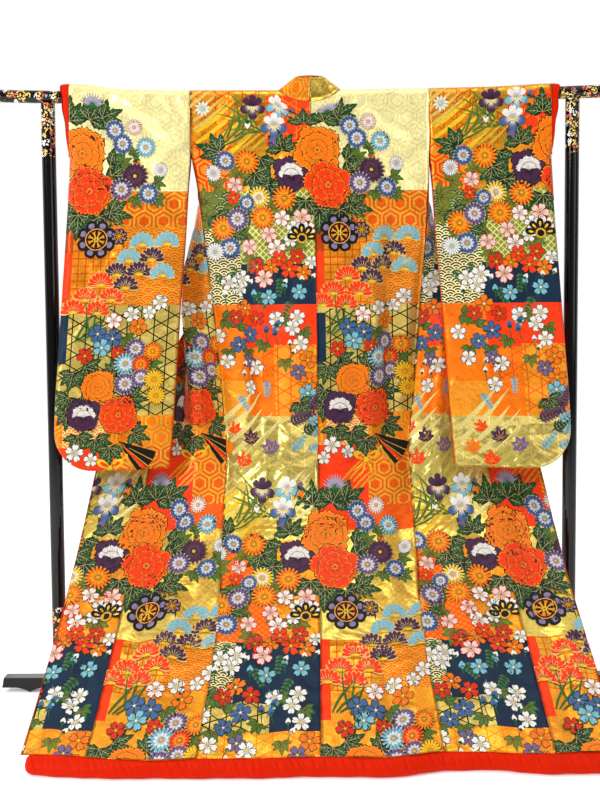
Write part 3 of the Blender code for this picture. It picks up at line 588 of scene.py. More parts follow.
def dress(name, node_name, table, unit, side, grid, out, across, down, downs):
    """Creases one panel, makes its wall and notes it as a sheet; returns the piece."""
    grid = grid - out * crease_depth(table, across, down)[..., None]
    out = outward(grid, side)
    piece = wall(name, inset(grid), out, across, down, SILKS)
    keep_panel(name, unit, grid, out, across, downs)
    stand_for(piece, node_name)
    return piece


print("rows", len(DOWNS), "columns of a back", columns_for(0.29))


# %% Back and fronts
def make_back(side, label):
    """Half of the back, its neckline pressed into the rows above NECK_PRESSED."""
    share = np.linspace(0.0, 1.0, columns_for(0.29))
    neck = neck_depth(share) + SEAM
    rows = np.repeat(DOWNS[:, None], len(share), axis=1)
    pressed = rows < NECK_PRESSED
    rows = np.where(pressed, neck + (NECK_PRESSED - neck) * rows / NECK_PRESSED, rows)
    grid = back_surface(side, rows, share[None, :])
    across = share[None, :] * follow(BODY, "down", "side", rows)
    return dress(f"back_{label}_brocade", f"back_{label}", f"back_{label}", "A" if side < 0 else "B",
                 side, grid, outward(grid, side), across, rows, DOWNS)


def front_grid(side, downs, first, last):
    """Grid of a front between two shares: 0 to 1 front, 1 to 2 okumi, 2 to 3 collar."""
    rows, widths = [], []
    for down in downs:
        front = float(follow(BODY, "down", "front_width", down))
        marks = np.array([0.0, front, front + okumi_width(down), front_length(down)])
        low, high = marks[first], marks[last]
        distances = np.linspace(low, high, columns_for((0.24, 0.15, COLLAR_WIDTH)[first]))
        rows.append(front_row(side, down, distances))
        widths.append(distances - low)
    return np.array(rows), np.array(widths)


def make_front(side, label):
    """A front, from the side seam to the okumi's seam."""
    downs = DOWNS.copy()
    downs[0] = SEAM
    grid, widths = front_grid(side, downs, 0, 1)
    across = widths[:, -1:] - widths
    down = np.repeat(downs[:, None], grid.shape[1], axis=1)
    return dress(f"front_{label}_brocade", f"front_{label}", "front", "B" if side < 0 else "A",
                 side, grid, outward(grid, side), across, down, downs)


def make_okumi(side, label):
    """The overlap panel, which starts as a point and takes over the edge below the collar."""
    ledge = COLLAR_END + 2 * SEAM
    downs = np.concatenate((np.arange(OKUMI_TOP + 0.012, COLLAR_END, STEP), [COLLAR_END, ledge],
                            np.arange(ledge + STEP, LENGTH, STEP), [LENGTH]))
    grid, widths = front_grid(side, downs, 1, 2)
    down = np.repeat(downs[:, None], grid.shape[1], axis=1)
    return dress(f"okumi_{label}_brocade", f"okumi_{label}", "okumi", "A" if side < 0 else "B",
                 side, grid, outward(grid, side), widths, down, downs)


print("below the collar an okumi is", round(okumi_width(LENGTH), 3), "m wide")


# %% Collar, and the panels of both sides
def make_collar(side, label):
    """Half of the collar: it stands up round the neck, then runs down the front's edge."""
    spots = np.linspace(0.0, 7.0, 57 if FINE == 1 else 29)
    seam = []
    for spot in spots:
        if spot <= 4:
            share = math.sin(np.interp(spot, range(5), NECK_TURNS)) * NECK_HALF / BODY["side"][0]
            seam.append(back_surface(side, neck_depth(share) - 0.0008, share))
        else:
            down = (spot - 4) / 3 * QUARTER
            seam.append(front_row(side, down, [front_length(down) - COLLAR_WIDTH])[0])
    edge = np.stack([follow(COLLAR_EDGE, "row", key, spots) for key in ("out", "back", "high")], axis=1)
    edge[:, 0] *= side
    edge[:, 2] += BAR_HEIGHT
    share = np.linspace(0.0, 1.0, columns_for(COLLAR_WIDTH))
    seam = np.array(seam)
    upper = seam[:, None] + (edge - seam)[:, None] * share[None, :, None]
    upper[0, :, 0] = side * SEAM / 2
    foot = COLLAR_END - 2 * SEAM
    downs = np.concatenate((np.arange(QUARTER + STEP, foot, STEP), [foot]))
    lower, _ = front_grid(side, downs, 2, 3)
    grid = np.concatenate((upper, lower))
    out = outward(grid, side)
    out[0, :, 0] = 0.0
    out /= np.linalg.norm(out, axis=2, keepdims=True)
    grid = grid + out * (0.001 + 0.0016 * np.sin(np.pi * share))[None, :, None]
    grid[0, :, 0] = side * SEAM / 2
    around = np.concatenate(([0.0], np.cumsum(np.linalg.norm(np.diff(grid[:, 0], axis=0), axis=1))))
    across = np.repeat(share[None, :] * COLLAR_WIDTH, len(grid), axis=0)
    down = np.repeat(around[:, None], len(share), axis=1)
    piece = wall(f"collar_{label}_brocade", inset(grid), out, across, down, SILKS, thick=0.004)
    keep_panel(piece.name, "collar_" + label, grid, out, across, around)
    stand_for(piece, f"collar_{label}")
    return piece


SIDES = ((-1, "left"), (1, "right"))
for side, label in SIDES:
    for piece in (make_back(side, label), make_front(side, label), make_okumi(side, label),
                  make_collar(side, label)):
        print(piece.name, len(piece.data.polygons), "faces")

# %% [markdown]
# ## Sleeves
# Each sleeve is a flat bag: folded over the bar at the top, closed along the bottom and, below the
# cuff, along its outer edge. The inner edge is left open, as on every woman's kimono. The two
# layers hang a little apart, so the bag is made as two faces that share their closed edges.

# %% Layers of a sleeve
FOLD_ROUND = 0.014          # the layers close on each other over this width


def sleeve_downs():
    """Distances down of a sleeve's rows, close together round its bottom corner."""
    bend = SLEEVE_LENGTH - SLEEVE_CORNER
    turns = np.radians(np.linspace(0.0, 90.0, 21 if FINE == 1 else 11))[1:]
    return np.concatenate((OVER_BAR, np.arange(QUARTER, bend, STEP), bend + SLEEVE_CORNER * np.sin(turns)))


def sleeve_layer(side, label, face, inside):
    """One layer of a sleeve, outside or inside face; also how far across it lies."""
    downs = sleeve_downs()
    share = np.linspace(0.0, 1.0, columns_for(0.32, SLEEVE_ACROSS))
    trim = 0.006 if inside else 0.0
    thick = WALL if inside else 0.0
    down = np.repeat(downs[:, None], len(share), axis=1)
    bend = SLEEVE_LENGTH - SLEEVE_CORNER
    near = follow(SLEEVE, "down", "inner", down)
    far = follow(SLEEVE, "down", "outer", down)
    rise = np.clip((down - bend) / SLEEVE_CORNER, 0.0, 1.0)
    far = far - SLEEVE_CORNER * (1 - np.sqrt(1 - rise * rise))
    below = ease(CUFF - 0.03, CUFF, down)
    out = near + (far - trim * below - near) * share
    to_edge = np.minimum(1.0, (far - near) * (1 - share) / FOLD_ROUND)
    to_bottom = np.minimum(1.0, (SLEEVE_LENGTH - down) / FOLD_ROUND)
    closing = (1 - below * (1 - np.sqrt(1 - (1 - to_edge) ** 2))) * np.sqrt(1 - (1 - to_bottom) ** 2)
    closing[downs >= CUFF, -1] = 0.0
    closing[-1] = 0.0
    gap = np.maximum(follow(SLEEVE, "down", "half_gap", down) * closing - thick, 0.0)
    lift = CUFF_LIFT[side] * ease(0.45, 1.0, share) * (1 - ease(0.03, 0.30, down))
    turn = np.minimum(down / BAR_WRAP, math.pi / 2)
    on_bar = down < QUARTER
    forward = follow(SLEEVE, "down", "forward", down) * share ** 0.7
    y = np.where(on_bar, face * (BAR_WRAP - thick) * np.sin(turn), -forward + face * gap)
    placed = np.minimum(down, SLEEVE_LENGTH - trim)
    z = BAR_HEIGHT + lift + np.where(on_bar, (BAR_WRAP - thick) * np.cos(turn), QUARTER - placed)
    across = follow(SLEEVE, "down", "outer", down) - out
    sunk = crease_depth(f"sleeve_{label}", across, down) * np.minimum(closing, 1.0)
    y = y - face * sunk * ~on_bar
    return np.stack((side * out, y, z + sag(out, down)), axis=-1), across, down


print("sleeve rows", len(sleeve_downs()))


# %% Sleeve bags
def make_sleeve(side, label):
    """The bag: an outside and an inside skin, each of a face and a rear layer that share closed edges."""
    downs = sleeve_downs()
    closed = downs >= CUFF
    layers = {(skin, n): sleeve_layer(side, label, face, bool(skin))
              for skin in (0, 1) for n, face in enumerate((-1, 1))}
    points, index, faces, linings = [], {}, [], []
    total = 0
    for (skin, n), (grid, wide, deep) in layers.items():
        fresh = np.ones(wide.shape, dtype=bool)
        number = np.zeros(wide.shape, dtype=np.int64)
        if n:
            fresh[0] = fresh[-1] = False
            fresh[closed, -1] = False
            number[~fresh] = index[skin, 0][~fresh]
        number[fresh] = total + np.arange(fresh.sum())
        total += int(fresh.sum())
        index[skin, n] = number
        points.append(np.column_stack((grid[fresh], wide[fresh], deep[fresh])))
        faces += quads(number, (skin + n + (side > 0)) % 2 == 0).tolist()
        linings += [skin] * (len(faces) - len(linings))
    for n in (0, 1):
        for column, last in ((0, len(downs) - 1), (-1, int((~closed).sum()))):
            skins = np.stack([index[skin, n][:last + 1, column] for skin in (0, 1)], axis=1)
            faces += np.column_stack((skins[:-1, 0], skins[1:, 0], skins[1:, 1], skins[:-1, 1])).tolist()
    linings += [0] * (len(faces) - len(linings))
    faces = [tuple(dict.fromkeys(face)) for face in faces]
    keep = [k for k, face in enumerate(faces) if len(face) > 2]
    points = np.concatenate(points)
    piece = cloth_object(f"sleeve_{label}_brocade", points[:, :3] + (0.0, BAR_Y, 0.0),
                         [faces[k] for k in keep], points[:, 3], points[:, 4], SILKS,
                         [linings[k] for k in keep])
    mend_normals(piece)
    for n, face, where in ((0, -1, "face"), (1, 1, "rear")):
        grid, wide, _ = layers[0, n]
        out = outward(grid, side)
        out = out * np.where((out[..., 1:2] * face) < 0, -1.0, 1.0)
        keep_panel(f"sleeve_{label}_{where}", "B" if side < 0 else "A", grid, out, wide, downs)
    stand_for(piece, f"sleeve_{label}")
    return piece


for side, label in SIDES:
    piece = make_sleeve(side, label)
    print(piece.name, len(piece.data.polygons), "faces")

# %% [markdown]
# ## Cuff linings and hem roll
# The vermilion lining stands out of each cuff and wraps a thick wadded roll, the fuki, along the
# hem. The lining is a narrow strip over the bar. The roll is a fat tube, flat where it lies on the
# floor, with a pucker wherever the tight silk is caught by the hem stitches.

# %% Cuff linings
CUFF_SHOWS = 0.022          # the lining stands out of the cuff by this much at the top


def make_cuff(side, label):
    """A strip of lining that runs over the bar along the cuff and narrows to nothing below."""
    downs = sleeve_downs()
    rows = downs < CUFF
    face, rear = (sleeve_layer(side, label, n, False)[0][rows, -1] for n in (-1, 1))
    path = np.concatenate((face[::-1], rear[1:]))
    deep = np.concatenate((downs[rows][::-1], downs[rows][1:]))
    shows = CUFF_SHOWS * (1 - 0.9 * ease(0.0, CUFF, deep))
    ripple = 1 + 0.10 * np.sin(deep * 95.0) * ease(0.0, 0.05, deep)
    share = np.linspace(0.0, 1.0, 6)
    grid = np.repeat(path[:, None], len(share), axis=1)
    grid[..., 0] += side * (SEAM + (shows * ripple)[:, None] * share[None, :])
    out = np.cross(np.gradient(grid, axis=0), (1.0, 0.0, 0.0))
    out /= np.linalg.norm(out, axis=2, keepdims=True)
    if np.sum(out * (grid - grid.mean(axis=(0, 1)))) < 0:
        out = -out
    grid = grid - out * (0.0012 * share ** 2)[None, :, None]
    across = np.repeat(share[None, :] * CUFF_SHOWS, len(grid), axis=0)
    down = np.repeat(np.linspace(0.0, 0.43, len(grid))[:, None], len(share), axis=1)
    piece = wall(f"cuff_{label}_silk", grid, out, across, down, (lining, lining), thick=0.0025,
                 valley=0.0006)
    stand_for(piece, f"cuff_lining_{label}")
    print(piece.name, len(piece.data.polygons), "faces")


for side, label in SIDES:
    make_cuff(side, label)


# %% Hem roll
ROLL_HALF_HEIGHT, ROLL_HALF_DEPTH, ROLL_FLAT, ROLL_END = 0.0213, 0.0260, 0.0015, 0.659
ROLL_CROWN = 0.0012         # the top rises this much to meet the hem
PUCKERS, PUCKER_GAP, PUCKER_DEPTH = 130, 0.017, 0.0034     # how many, mean distance, most depth


def make_roll():
    """The wadded tube along the hem, from ring to ring of points."""
    rings, around = (720, 30) if FINE == 1 else (300, 20)
    lean = BODY["lean"][-1]
    chance = np.random.default_rng(7)
    centres = np.cumsum(chance.uniform(0.55, 1.5, PUCKERS) * PUCKER_GAP) - ROLL_END - 0.02
    slants = chance.uniform(0.004, 0.020, PUCKERS)
    depths = chance.uniform(0.35, 1.0, PUCKERS) * PUCKER_DEPTH
    widths = chance.uniform(0.0022, 0.0046, PUCKERS)
    x = lean + np.linspace(-ROLL_END, ROLL_END, rings + 1)
    inward = np.minimum(np.arange(rings + 1), rings - np.arange(rings + 1)) * (2 * ROLL_END / rings)
    ends = np.sqrt(1 - (1 - np.clip(inward / 0.020, 0.0, 1.0)) ** 2)
    ends = 0.30 + 0.70 * ends
    turn = 2 * np.pi * (np.arange(around) + 0.5) / around
    middle = HEM_SEAM[0] - hem_forward(x, LENGTH) + 0.004
    up = np.sin(turn)[None, :]
    shrink = np.zeros((rings + 1, around))
    for centre, slant, depth, wide in zip(centres, slants, depths, widths):
        along = x[:, None] - lean - centre - slant * (0.6 - up)
        shrink += depth * np.exp(-(along / wide) ** 2) * ease(-0.7, 0.5, up)
    shrink *= 1 - ease(0.80, 1.0, up)
    soft = 0.0008 * np.sin(x[:, None] * 41.0) + 0.0006 * np.sin(x[:, None] * 97.0 + 1.0)
    deep = (ROLL_HALF_DEPTH - shrink + soft) * ends[:, None]
    tall = (ROLL_HALF_HEIGHT - shrink + soft) * ends[:, None]
    hems = np.concatenate([PANELS[f"{part}_{label}_brocade"]["grid"][-1]
                           for part in ("back", "front", "okumi") for _, label in SIDES])
    hems = hems[np.argsort(hems[:, 0])]
    to_hem = np.interp(x, hems[:, 0], hems[:, 1]) - (HEM_SEAM[0] - hem_forward(x, LENGTH))
    y = middle[:, None] + deep * np.cos(turn)[None, :] + to_hem[:, None] * ease(0.1, 0.95, up)
    z = np.maximum(0.0, ROLL_HALF_HEIGHT + tall * up - ROLL_FLAT + ROLL_CROWN * ease(0.8, 1.0, up))
    grid = np.stack((np.repeat(x[:, None], around, axis=1), y + BAR_Y, z), axis=-1)
    number = np.arange((rings + 1) * around).reshape(rings + 1, around)
    faces = quads(np.column_stack((number, number[:, 0]))).tolist()
    faces += [number[0].tolist(), number[-1][::-1].tolist()]
    across = np.repeat(turn[None, :] / (2 * np.pi) * 0.15, rings + 1, axis=0).ravel()
    down = np.repeat(x[:, None], around, axis=1).ravel()
    piece = cloth_object("fuki_hem_roll_silk", grid.reshape(-1, 3), faces, across, down,
                         (lining,), [0] * len(faces))
    mend_normals(piece)
    stand_for(piece, "fuki_hem_roll")
    print(piece.name, len(faces), "faces")


make_roll()

# %% [markdown]
# ## The woven ground
# The cloth is one long width whose ground changes in steps, like a patchwork: gold with a basket
# lattice, vermilion, pale gold, navy with waves. All these lattices are traditional. In the loom
# each is a different lift of the threads, so here they are drawn in the material by the distance
# across and down the cloth, in real millimetres. Two halves of the width, A and B, are sewn side by
# side. Colour ramps with constant steps hold the bands of three strips of each, and their alpha
# holds which lattice and how much gold thread a band has.

# %% Thread colours
# The straw-yellow and dull olive threads, where they lie in broad mist streaks, are painted sheen and
# painted shade of folds.
SILK = {
    "white": "#F6F0E6", "blush": "#F6D0C2", "red": "#E32A0C", "vermilion": "#FF3C06",
    "orange": "#FF7A0A", "amber": "#F79A22", "yellow": "#FBCB22", "gold": "#E2A92E",
    "pale": "#E2C75E", "cream": "#F6E79A", "olive": "#68792A", "lime": "#8E9A38",
    "leaf_green": "#2F6A2C", "pine_green": "#0E3F1E", "plum": "#4A2748", "violet": "#77608C",
    "blue": "#44659A", "skyblue": "#7DBCCB", "navy": "#10283F", "black": "#14110F",
    "rust": "#C8480E", "champagne": "#FFF3AE", "straw": "#EBDC84",
    "moss": "#C2B24E", "sand": "#D8BE60", "flame": "#EE5A08", "brown": "#5A1E08",
}
LATTICES = ("plain", "kagome", "kikko", "waves", "lattice", "grid")
KINDS = 8                               # the alpha of a band is its lattice's number over this

# Each strip: where it ends across the cloth, then its bands: where it starts down the cloth, both in
# millimetres, ground thread, lattice thread, lattice and share of gold thread.
GROUNDS = {
    "A": """
        117: 0 gold orange kagome 0.5, 28 vermilion orange kagome 0.1, 160 amber gold plain 0.3,
            280 lime cream lattice 0.2, 473 navy blue plain 0.1, 583 vermilion orange plain 0.15,
            690 amber flame kagome 0.3, 886 sand straw kagome 0.5, 1124 pale gold plain 0.5,
            1248 amber gold plain 0.4, 1580 navy blue plain 0.1, 1856 amber orange kagome 0.4;
        205: 0 gold flame kagome 0.5, 160 amber gold kikko 0.4, 280 lime cream lattice 0.2,
            473 navy skyblue plain 0.1, 583 vermilion orange plain 0.15, 700 orange flame kagome 0.3,
            790 orange gold plain 0.3, 886 sand straw kagome 0.5, 1124 pale gold plain 0.5,
            1248 orange vermilion lattice 0.1, 1580 navy blue plain 0.1, 1769 sand black kagome 0.4,
            1856 gold orange kagome 0.4;
        9000: 0 amber flame kagome 0.4, 160 amber vermilion kikko 0.3, 280 lime navy waves 0.2,
            347 navy cream waves 0.1, 583 orange flame plain 0.25, 790 amber gold plain 0.3,
            886 sand straw kagome 0.5, 1124 pale gold plain 0.5, 1248 orange vermilion lattice 0.1,
            1580 navy cream waves 0.1, 1769 sand black kagome 0.4, 1856 gold orange kagome 0.4""",
    # In half B the rust ground of the first two strips, from 280 mm down, is partly the cloth's
    # orange-brown and partly painted shade of the fold there.
    "B": """
        24: 0 champagne cream kikko 0.3, 280 rust gold plain 0.3, 440 vermilion orange plain 0.1,
            575 pale gold plain 0.4, 602 navy blue plain 0.1, 742 sand black kagome 0.4,
            878 orange gold kikko 0.3, 968 vermilion flame plain 0.15, 1217 pale gold plain 0.5,
            1571 vermilion orange plain 0.1, 1828 amber gold plain 0.4;
        137: 0 champagne cream kikko 0.3, 280 rust gold kikko 0.3, 374 amber flame grid 0.4,
            583 sand black kagome 0.4, 878 orange cream waves 0.3, 968 vermilion flame plain 0.15,
            1217 pale gold plain 0.5, 1571 gold flame grid 0.5, 1738 amber gold kagome 0.4;
        9000: 0 champagne cream kikko 0.3, 280 flame gold kikko 0.3, 374 flame gold waves 0.3,
            583 sand black kagome 0.4, 878 orange gold kikko 0.3, 968 flame gold kikko 0.2,
            1140 flame vermilion plain 0.2, 1217 pale gold lattice 0.5, 1571 flame gold waves 0.3,
            1738 amber gold kagome 0.4""",
    "collar_left": """
        9000: 0 orange gold kikko 0.3, 300 amber orange kagome 0.4, 600 vermilion gold lattice 0.2""",
    "collar_right": """
        9000: 0 pale gold lattice 0.6, 300 vermilion gold kikko 0.2, 600 gold orange kagome 0.4""",
}


def ground_strips(unit):
    """The strips of a unit as pairs of their end and their bands."""
    for strip in GROUNDS[unit].split(";"):
        end, bands = strip.split(":")
        rows = [band.split() for band in bands.split(",")]
        yield float(end) / 1000, [(float(start) / 1000, ground, line, LATTICES.index(kind), float(share))
                                  for start, ground, line, kind, share in rows]


print("threads", len(SILK), "grounds", len(GROUNDS))


# %% Lattices as masks
def ruled(tree, place, families, pitch, wide):
    """Mask of straight lines: each family has an angle in degrees and a phase."""
    drawn = 0.0
    for angle, phase in families:
        cos, sin = polar(angle)
        way = (cos / pitch, sin / pitch, 0.0)
        run = node(tree, "VectorMath", {0: place, 1: way}, operation="DOT_PRODUCT")
        run = node(tree, "Math", {0: run.outputs["Value"], 1: phase}, operation="ADD")
        near = node(tree, "Math", {0: run, 1: 0.5}, operation="PINGPONG")
        line = node(tree, "Math", {0: near, 1: wide / pitch / 2}, operation="LESS_THAN")
        drawn = node(tree, "Math", {0: drawn, 1: line}, operation="MAXIMUM")
    return drawn


def hexagons(tree, place, pitch, wide):
    """Mask of a honeycomb with a smaller hexagon inside each cell."""
    tall = math.sqrt(3) / 2
    scaled = node(tree, "VectorMath", {0: place, "Scale": 1 / pitch}, operation="SCALE")
    cells, reach = [], []
    for shift in (0.0, 1.0):
        moved = node(tree, "VectorMath", {0: scaled, 1: (shift / 2, shift * tall, 0.0)}, operation="ADD")
        cells.append(node(tree, "VectorMath", {0: moved, 1: (0.5, tall, 0.5), 2: (-0.5, -tall, -0.5)},
                          operation="WRAP"))
        reach.append(node(tree, "VectorMath", {0: cells[-1]}, operation="LENGTH").outputs["Value"])
    first = node(tree, "Math", {0: reach[0], 1: reach[1]}, operation="LESS_THAN")
    chosen = node(tree, "Mix", {0: first, 4: cells[1], 5: cells[0]}, data_type="VECTOR").outputs[1]
    folded = node(tree, "VectorMath", {0: chosen}, operation="ABSOLUTE")
    slanted = node(tree, "VectorMath", {0: folded, 1: (0.5, tall, 0.0)}, operation="DOT_PRODUCT")
    straight = node(tree, "SeparateXYZ", {0: folded})
    rim = node(tree, "Math", {0: slanted.outputs["Value"], 1: straight}, operation="MAXIMUM")
    outer = node(tree, "Math", {0: rim, 1: 0.5 - wide / pitch / 2}, operation="GREATER_THAN")
    inner = node(tree, "Math", {0: rim, 1: KIKKO_INNER, 2: wide / pitch / 2}, operation="COMPARE")
    return node(tree, "Math", {0: outer, 1: inner}, operation="MAXIMUM")


def wave_scales(tree, place, pitch):
    """Mask of overlapping fans of arcs, the blue sea wave pattern."""
    scaled = node(tree, "VectorMath", {0: place, "Scale": 1 / pitch}, operation="SCALE")
    parts = node(tree, "SeparateXYZ", {0: scaled})
    row_at = node(tree, "Math", {0: parts.outputs[1], 1: 4.0}, operation="MULTIPLY")
    base = node(tree, "Math", {0: row_at}, operation="CEIL")
    distance = None
    for step in (-1.0, 0.0, 1.0):
        row = node(tree, "Math", {0: base, 1: step}, operation="ADD")
        high = node(tree, "Math", {0: row, 1: 0.25}, operation="MULTIPLY")
        dy = node(tree, "Math", {0: high, 1: parts.outputs[1]}, operation="SUBTRACT")
        odd = node(tree, "Math", {0: row, 1: 2.0}, operation="FLOORED_MODULO")
        half = node(tree, "Math", {0: odd, 1: -0.5, 2: parts}, operation="MULTIPLY_ADD")
        dx = node(tree, "Math", {0: half, 1: 0.5, 2: -0.5}, operation="WRAP")
        arm = node(tree, "CombineXYZ", {0: dx, 1: dy})
        reach = node(tree, "VectorMath", {0: arm}, operation="LENGTH").outputs["Value"]
        if distance is None:
            distance = reach
            continue
        covers = node(tree, "Math", {0: reach, 1: 0.5}, operation="LESS_THAN")
        distance = node(tree, "Mix", {0: covers, 2: distance, 3: reach}, data_type="FLOAT")
    arcs = node(tree, "Math", {0: distance, 1: WAVE_ARCS}, operation="MULTIPLY")
    arcs = node(tree, "Math", {0: arcs}, operation="FRACT")
    return node(tree, "Math", {0: arcs, 1: 0.58}, operation="GREATER_THAN")


# %% One material for each half of the width
KAGOME_PITCH, KAGOME_LINE = 0.036, 0.0031       # basket lattice, metres
KIKKO_PITCH, KIKKO_LINE = 0.052, 0.0050         # tortoiseshell
KIKKO_INNER = 0.29                              # the smaller hexagon's half width, in cells
WAVE_PITCH, WAVE_ARCS = 0.042, 6.0              # sea waves, and how many arcs a full scale would hold
LATTICE_PITCH, LATTICE_LINE = 0.0125, 0.0022
GRID_PITCH, GRID_LINE = 0.020, 0.0032
THREAD_SCALE = 420.0            # slubs of about 2.5 mm: real threads are too fine to see
DYE_AND_SHEEN_SCALE = 14.0              # dye clouds and painted sheen of about 70 mm: the ground lighter and darker in patches
RUMPLE_SCALE, RUMPLE_DEEP = 34.0, 0.0028        # small crumples of about 30 mm
SLACK_SCALE, SLACK_DEEP = 8.5, 0.026            # slack between the stitches, of about 120 mm
GOLD_THREAD = 1.35              # how metallic a full share of gold thread looks
SILK_ROUGH = 0.56               # plain silk; a full share of gold thread is a mirror


def band_ramp(tree, down, bands, colour_column, alphas):
    """A colour ramp with one constant step for each band."""
    ramp = node(tree, "ValToRGB", {0: down})
    ramp.color_ramp.interpolation = "CONSTANT"
    steps = ramp.color_ramp.elements
    while len(steps) > 1:
        steps.remove(steps[-1])
    for k, (band, alpha) in enumerate(zip(bands, alphas)):
        step = steps[0] if k == 0 else steps.new(band[0] / 2)
        step.position = band[0] / 2
        step.color = linear(SILK[band[colour_column]], alpha)
    return ramp


print("a slub is about", round(1000 / THREAD_SCALE, 1), "mm long")


# %% The ground with its lattices
def woven_ground(tree, cloth, unit):
    """Colour of the ground and share of gold thread, with each band's lattice drawn on it."""
    parts = node(tree, "SeparateXYZ", {0: cloth})
    down = node(tree, "Math", {0: parts.outputs[1], 1: 0.5}, operation="MULTIPLY")
    chosen = None
    for end, bands in reversed(list(ground_strips(unit))):
        ground = band_ramp(tree, down, bands, 1, [band[3] / KINDS for band in bands])
        thread = band_ramp(tree, down, bands, 2, [band[4] for band in bands])
        strip = (*ground.outputs, *thread.outputs)
        if chosen is None:
            chosen = strip
            continue
        beyond = node(tree, "Math", {0: parts, 1: end}, operation="GREATER_THAN")
        chosen = [node(tree, "Mix", {0: beyond, first: near, second: far}, data_type=kind).outputs[result]
                  for near, far, (kind, first, second, result) in
                  zip(strip, chosen, (("RGBA", 6, 7, 2), ("FLOAT", 2, 3, 0)) * 2)]
    colour, which, thread, gold = chosen
    masks = {
        "kagome": ruled(tree, cloth, ((0, 0.0), (60, 0.0), (120, 0.5)), KAGOME_PITCH, KAGOME_LINE),
        "kikko": hexagons(tree, cloth, KIKKO_PITCH, KIKKO_LINE),
        "waves": wave_scales(tree, cloth, WAVE_PITCH),
        "lattice": ruled(tree, cloth, ((45, 0.0), (135, 0.0)), LATTICE_PITCH, LATTICE_LINE),
        "grid": ruled(tree, cloth, ((0, 0.0), (90, 0.0)), GRID_PITCH, GRID_LINE),
    }
    drawn = 0.0
    for kind, mask in masks.items():
        number = LATTICES.index(kind) / KINDS
        wanted = node(tree, "Math", {0: which, 1: number, 2: 0.4 / KINDS}, operation="COMPARE")
        drawn = node(tree, "Math", {0: wanted, 1: mask, 2: drawn}, operation="MULTIPLY_ADD")
    return node(tree, "Mix", {0: drawn, 6: colour, 7: thread}, data_type="RGBA").outputs[2], gold


# %% Brocade
def woven_brocade(unit):
    """Silk brocade: plain silk scatters light softly, gold thread mirrors the room in patches."""
    surface, tree, shader = new_material(f"woven_brocade_{unit}")
    cloth = node(tree, "UVMap", uv_map="cloth")
    colour, gold = woven_ground(tree, cloth, unit)
    stretched = node(tree, "VectorMath", {0: cloth, 1: (1.0, 0.28, 1.0)}, operation="MULTIPLY")
    slub = node(tree, "TexNoise", {"Vector": stretched, "Scale": THREAD_SCALE, "Detail": 2.0})
    # Painted sheen as well as dye: broad clouds make the ground lighter and darker in patches, as gold
    # thread mirroring a room would look.
    dye_and_sheen = node(tree, "TexNoise", {"Vector": cloth, "Scale": DYE_AND_SHEEN_SCALE, "Detail": 4.0})
    tone = node(tree, "Math", {0: slub, 1: 1.10, 2: 0.42}, operation="MULTIPLY_ADD")
    wide = node(tree, "Math", {0: dye_and_sheen, 1: 0.70, 2: 0.60}, operation="MULTIPLY_ADD")
    tone = node(tree, "Math", {0: tone, 1: wide}, operation="MULTIPLY")
    rumple = node(tree, "TexNoise", {"Vector": cloth, "Scale": RUMPLE_SCALE, "Detail": 3.0})
    slack = node(tree, "TexNoise", {"Vector": cloth, "Scale": SLACK_SCALE, "Detail": 2.5,
                                    "Distortion": 0.6})
    bump = node(tree, "Bump", {"Height": slack, "Strength": 0.9, "Distance": SLACK_DEEP})
    bump = node(tree, "Bump", {"Height": rumple, "Strength": 0.6, "Distance": RUMPLE_DEEP, "Normal": bump})
    bump = node(tree, "Bump", {"Height": slub, "Strength": 0.4, "Distance": 0.0008, "Normal": bump})
    join(tree, shader, {
        "Base Color": node(tree, "HueSaturation", {"Value": tone, "Color": colour}),
        "Metallic": node(tree, "Math", {0: gold, 1: GOLD_THREAD}, operation="MULTIPLY"),
        "Roughness": node(tree, "Math", {0: gold, 1: -SILK_ROUGH, 2: SILK_ROUGH}, operation="MULTIPLY_ADD"),
        "Normal": bump, "Specular IOR Level": 0.2})
    return surface


BROCADES = {unit: woven_brocade(unit) for unit in GROUNDS}
for name, panel in PANELS.items():
    piece = bpy.data.objects.get(name) or bpy.data.objects[name.rsplit("_", 1)[0] + "_brocade"]
    piece.data.materials[0] = BROCADES[panel["unit"]]
print("brocades", len(BROCADES))

# %% [markdown]
# ## The flowers
# Over the ground float big peonies, chrysanthemums, irises, cherry blossoms, pines and maple leaves,
# in thick glossy silk that stands a little proud. Each is drawn from petals: a petal is a small
# grid of faces that runs from its root to its tip, with a thread colour for each point. Rings of
# petals make a flower. The drawing is flat, in metres on the cloth, and is then laid on a panel's
# own surface, each shape a hair above the one before it. A shape that crosses a seam is cut there.

# %% Petals
OUTLINES = {                 # half widths along a shape, from root to tip
    "petal": ((0.0, 0.3, 0.6, 0.85, 1.0), (0.25, 0.75, 1.0, 0.85, 0.40)),
    "cherry": ((0.0, 0.20, 0.45, 0.68, 0.87, 1.0), (0.12, 0.45, 0.84, 1.0, 0.88, 0.40)),
    "broad": ((0.0, 0.22, 0.48, 0.72, 0.89, 1.0), (0.24, 0.62, 0.92, 1.0, 0.88, 0.52)),
    "leaf": ((0.0, 0.3, 0.55, 0.8, 1.0), (0.12, 0.90, 1.0, 0.55, 0.03)),
    "lobed": ((0.0, 0.20, 0.38, 0.48, 0.62, 0.72, 0.86, 1.0),
              (0.10, 0.62, 1.0, 0.70, 0.86, 0.52, 0.40, 0.02)),
    "spear": ((0.0, 0.5, 1.0), (0.45, 1.0, 0.06)),
    "blade": ((0.0, 0.25, 0.5, 0.75, 1.0), (0.7, 1.0, 0.9, 0.6, 0.05)),
    "rib": ((0.0, 0.5, 1.0), (0.30, 0.65, 1.0)),
    "disc": ((0.0, 0.04, 0.14, 0.31, 0.5, 0.69, 0.86, 0.96, 1.0),
             (0.08, 0.39, 0.69, 0.92, 1.0, 0.92, 0.69, 0.39, 0.08)),
}
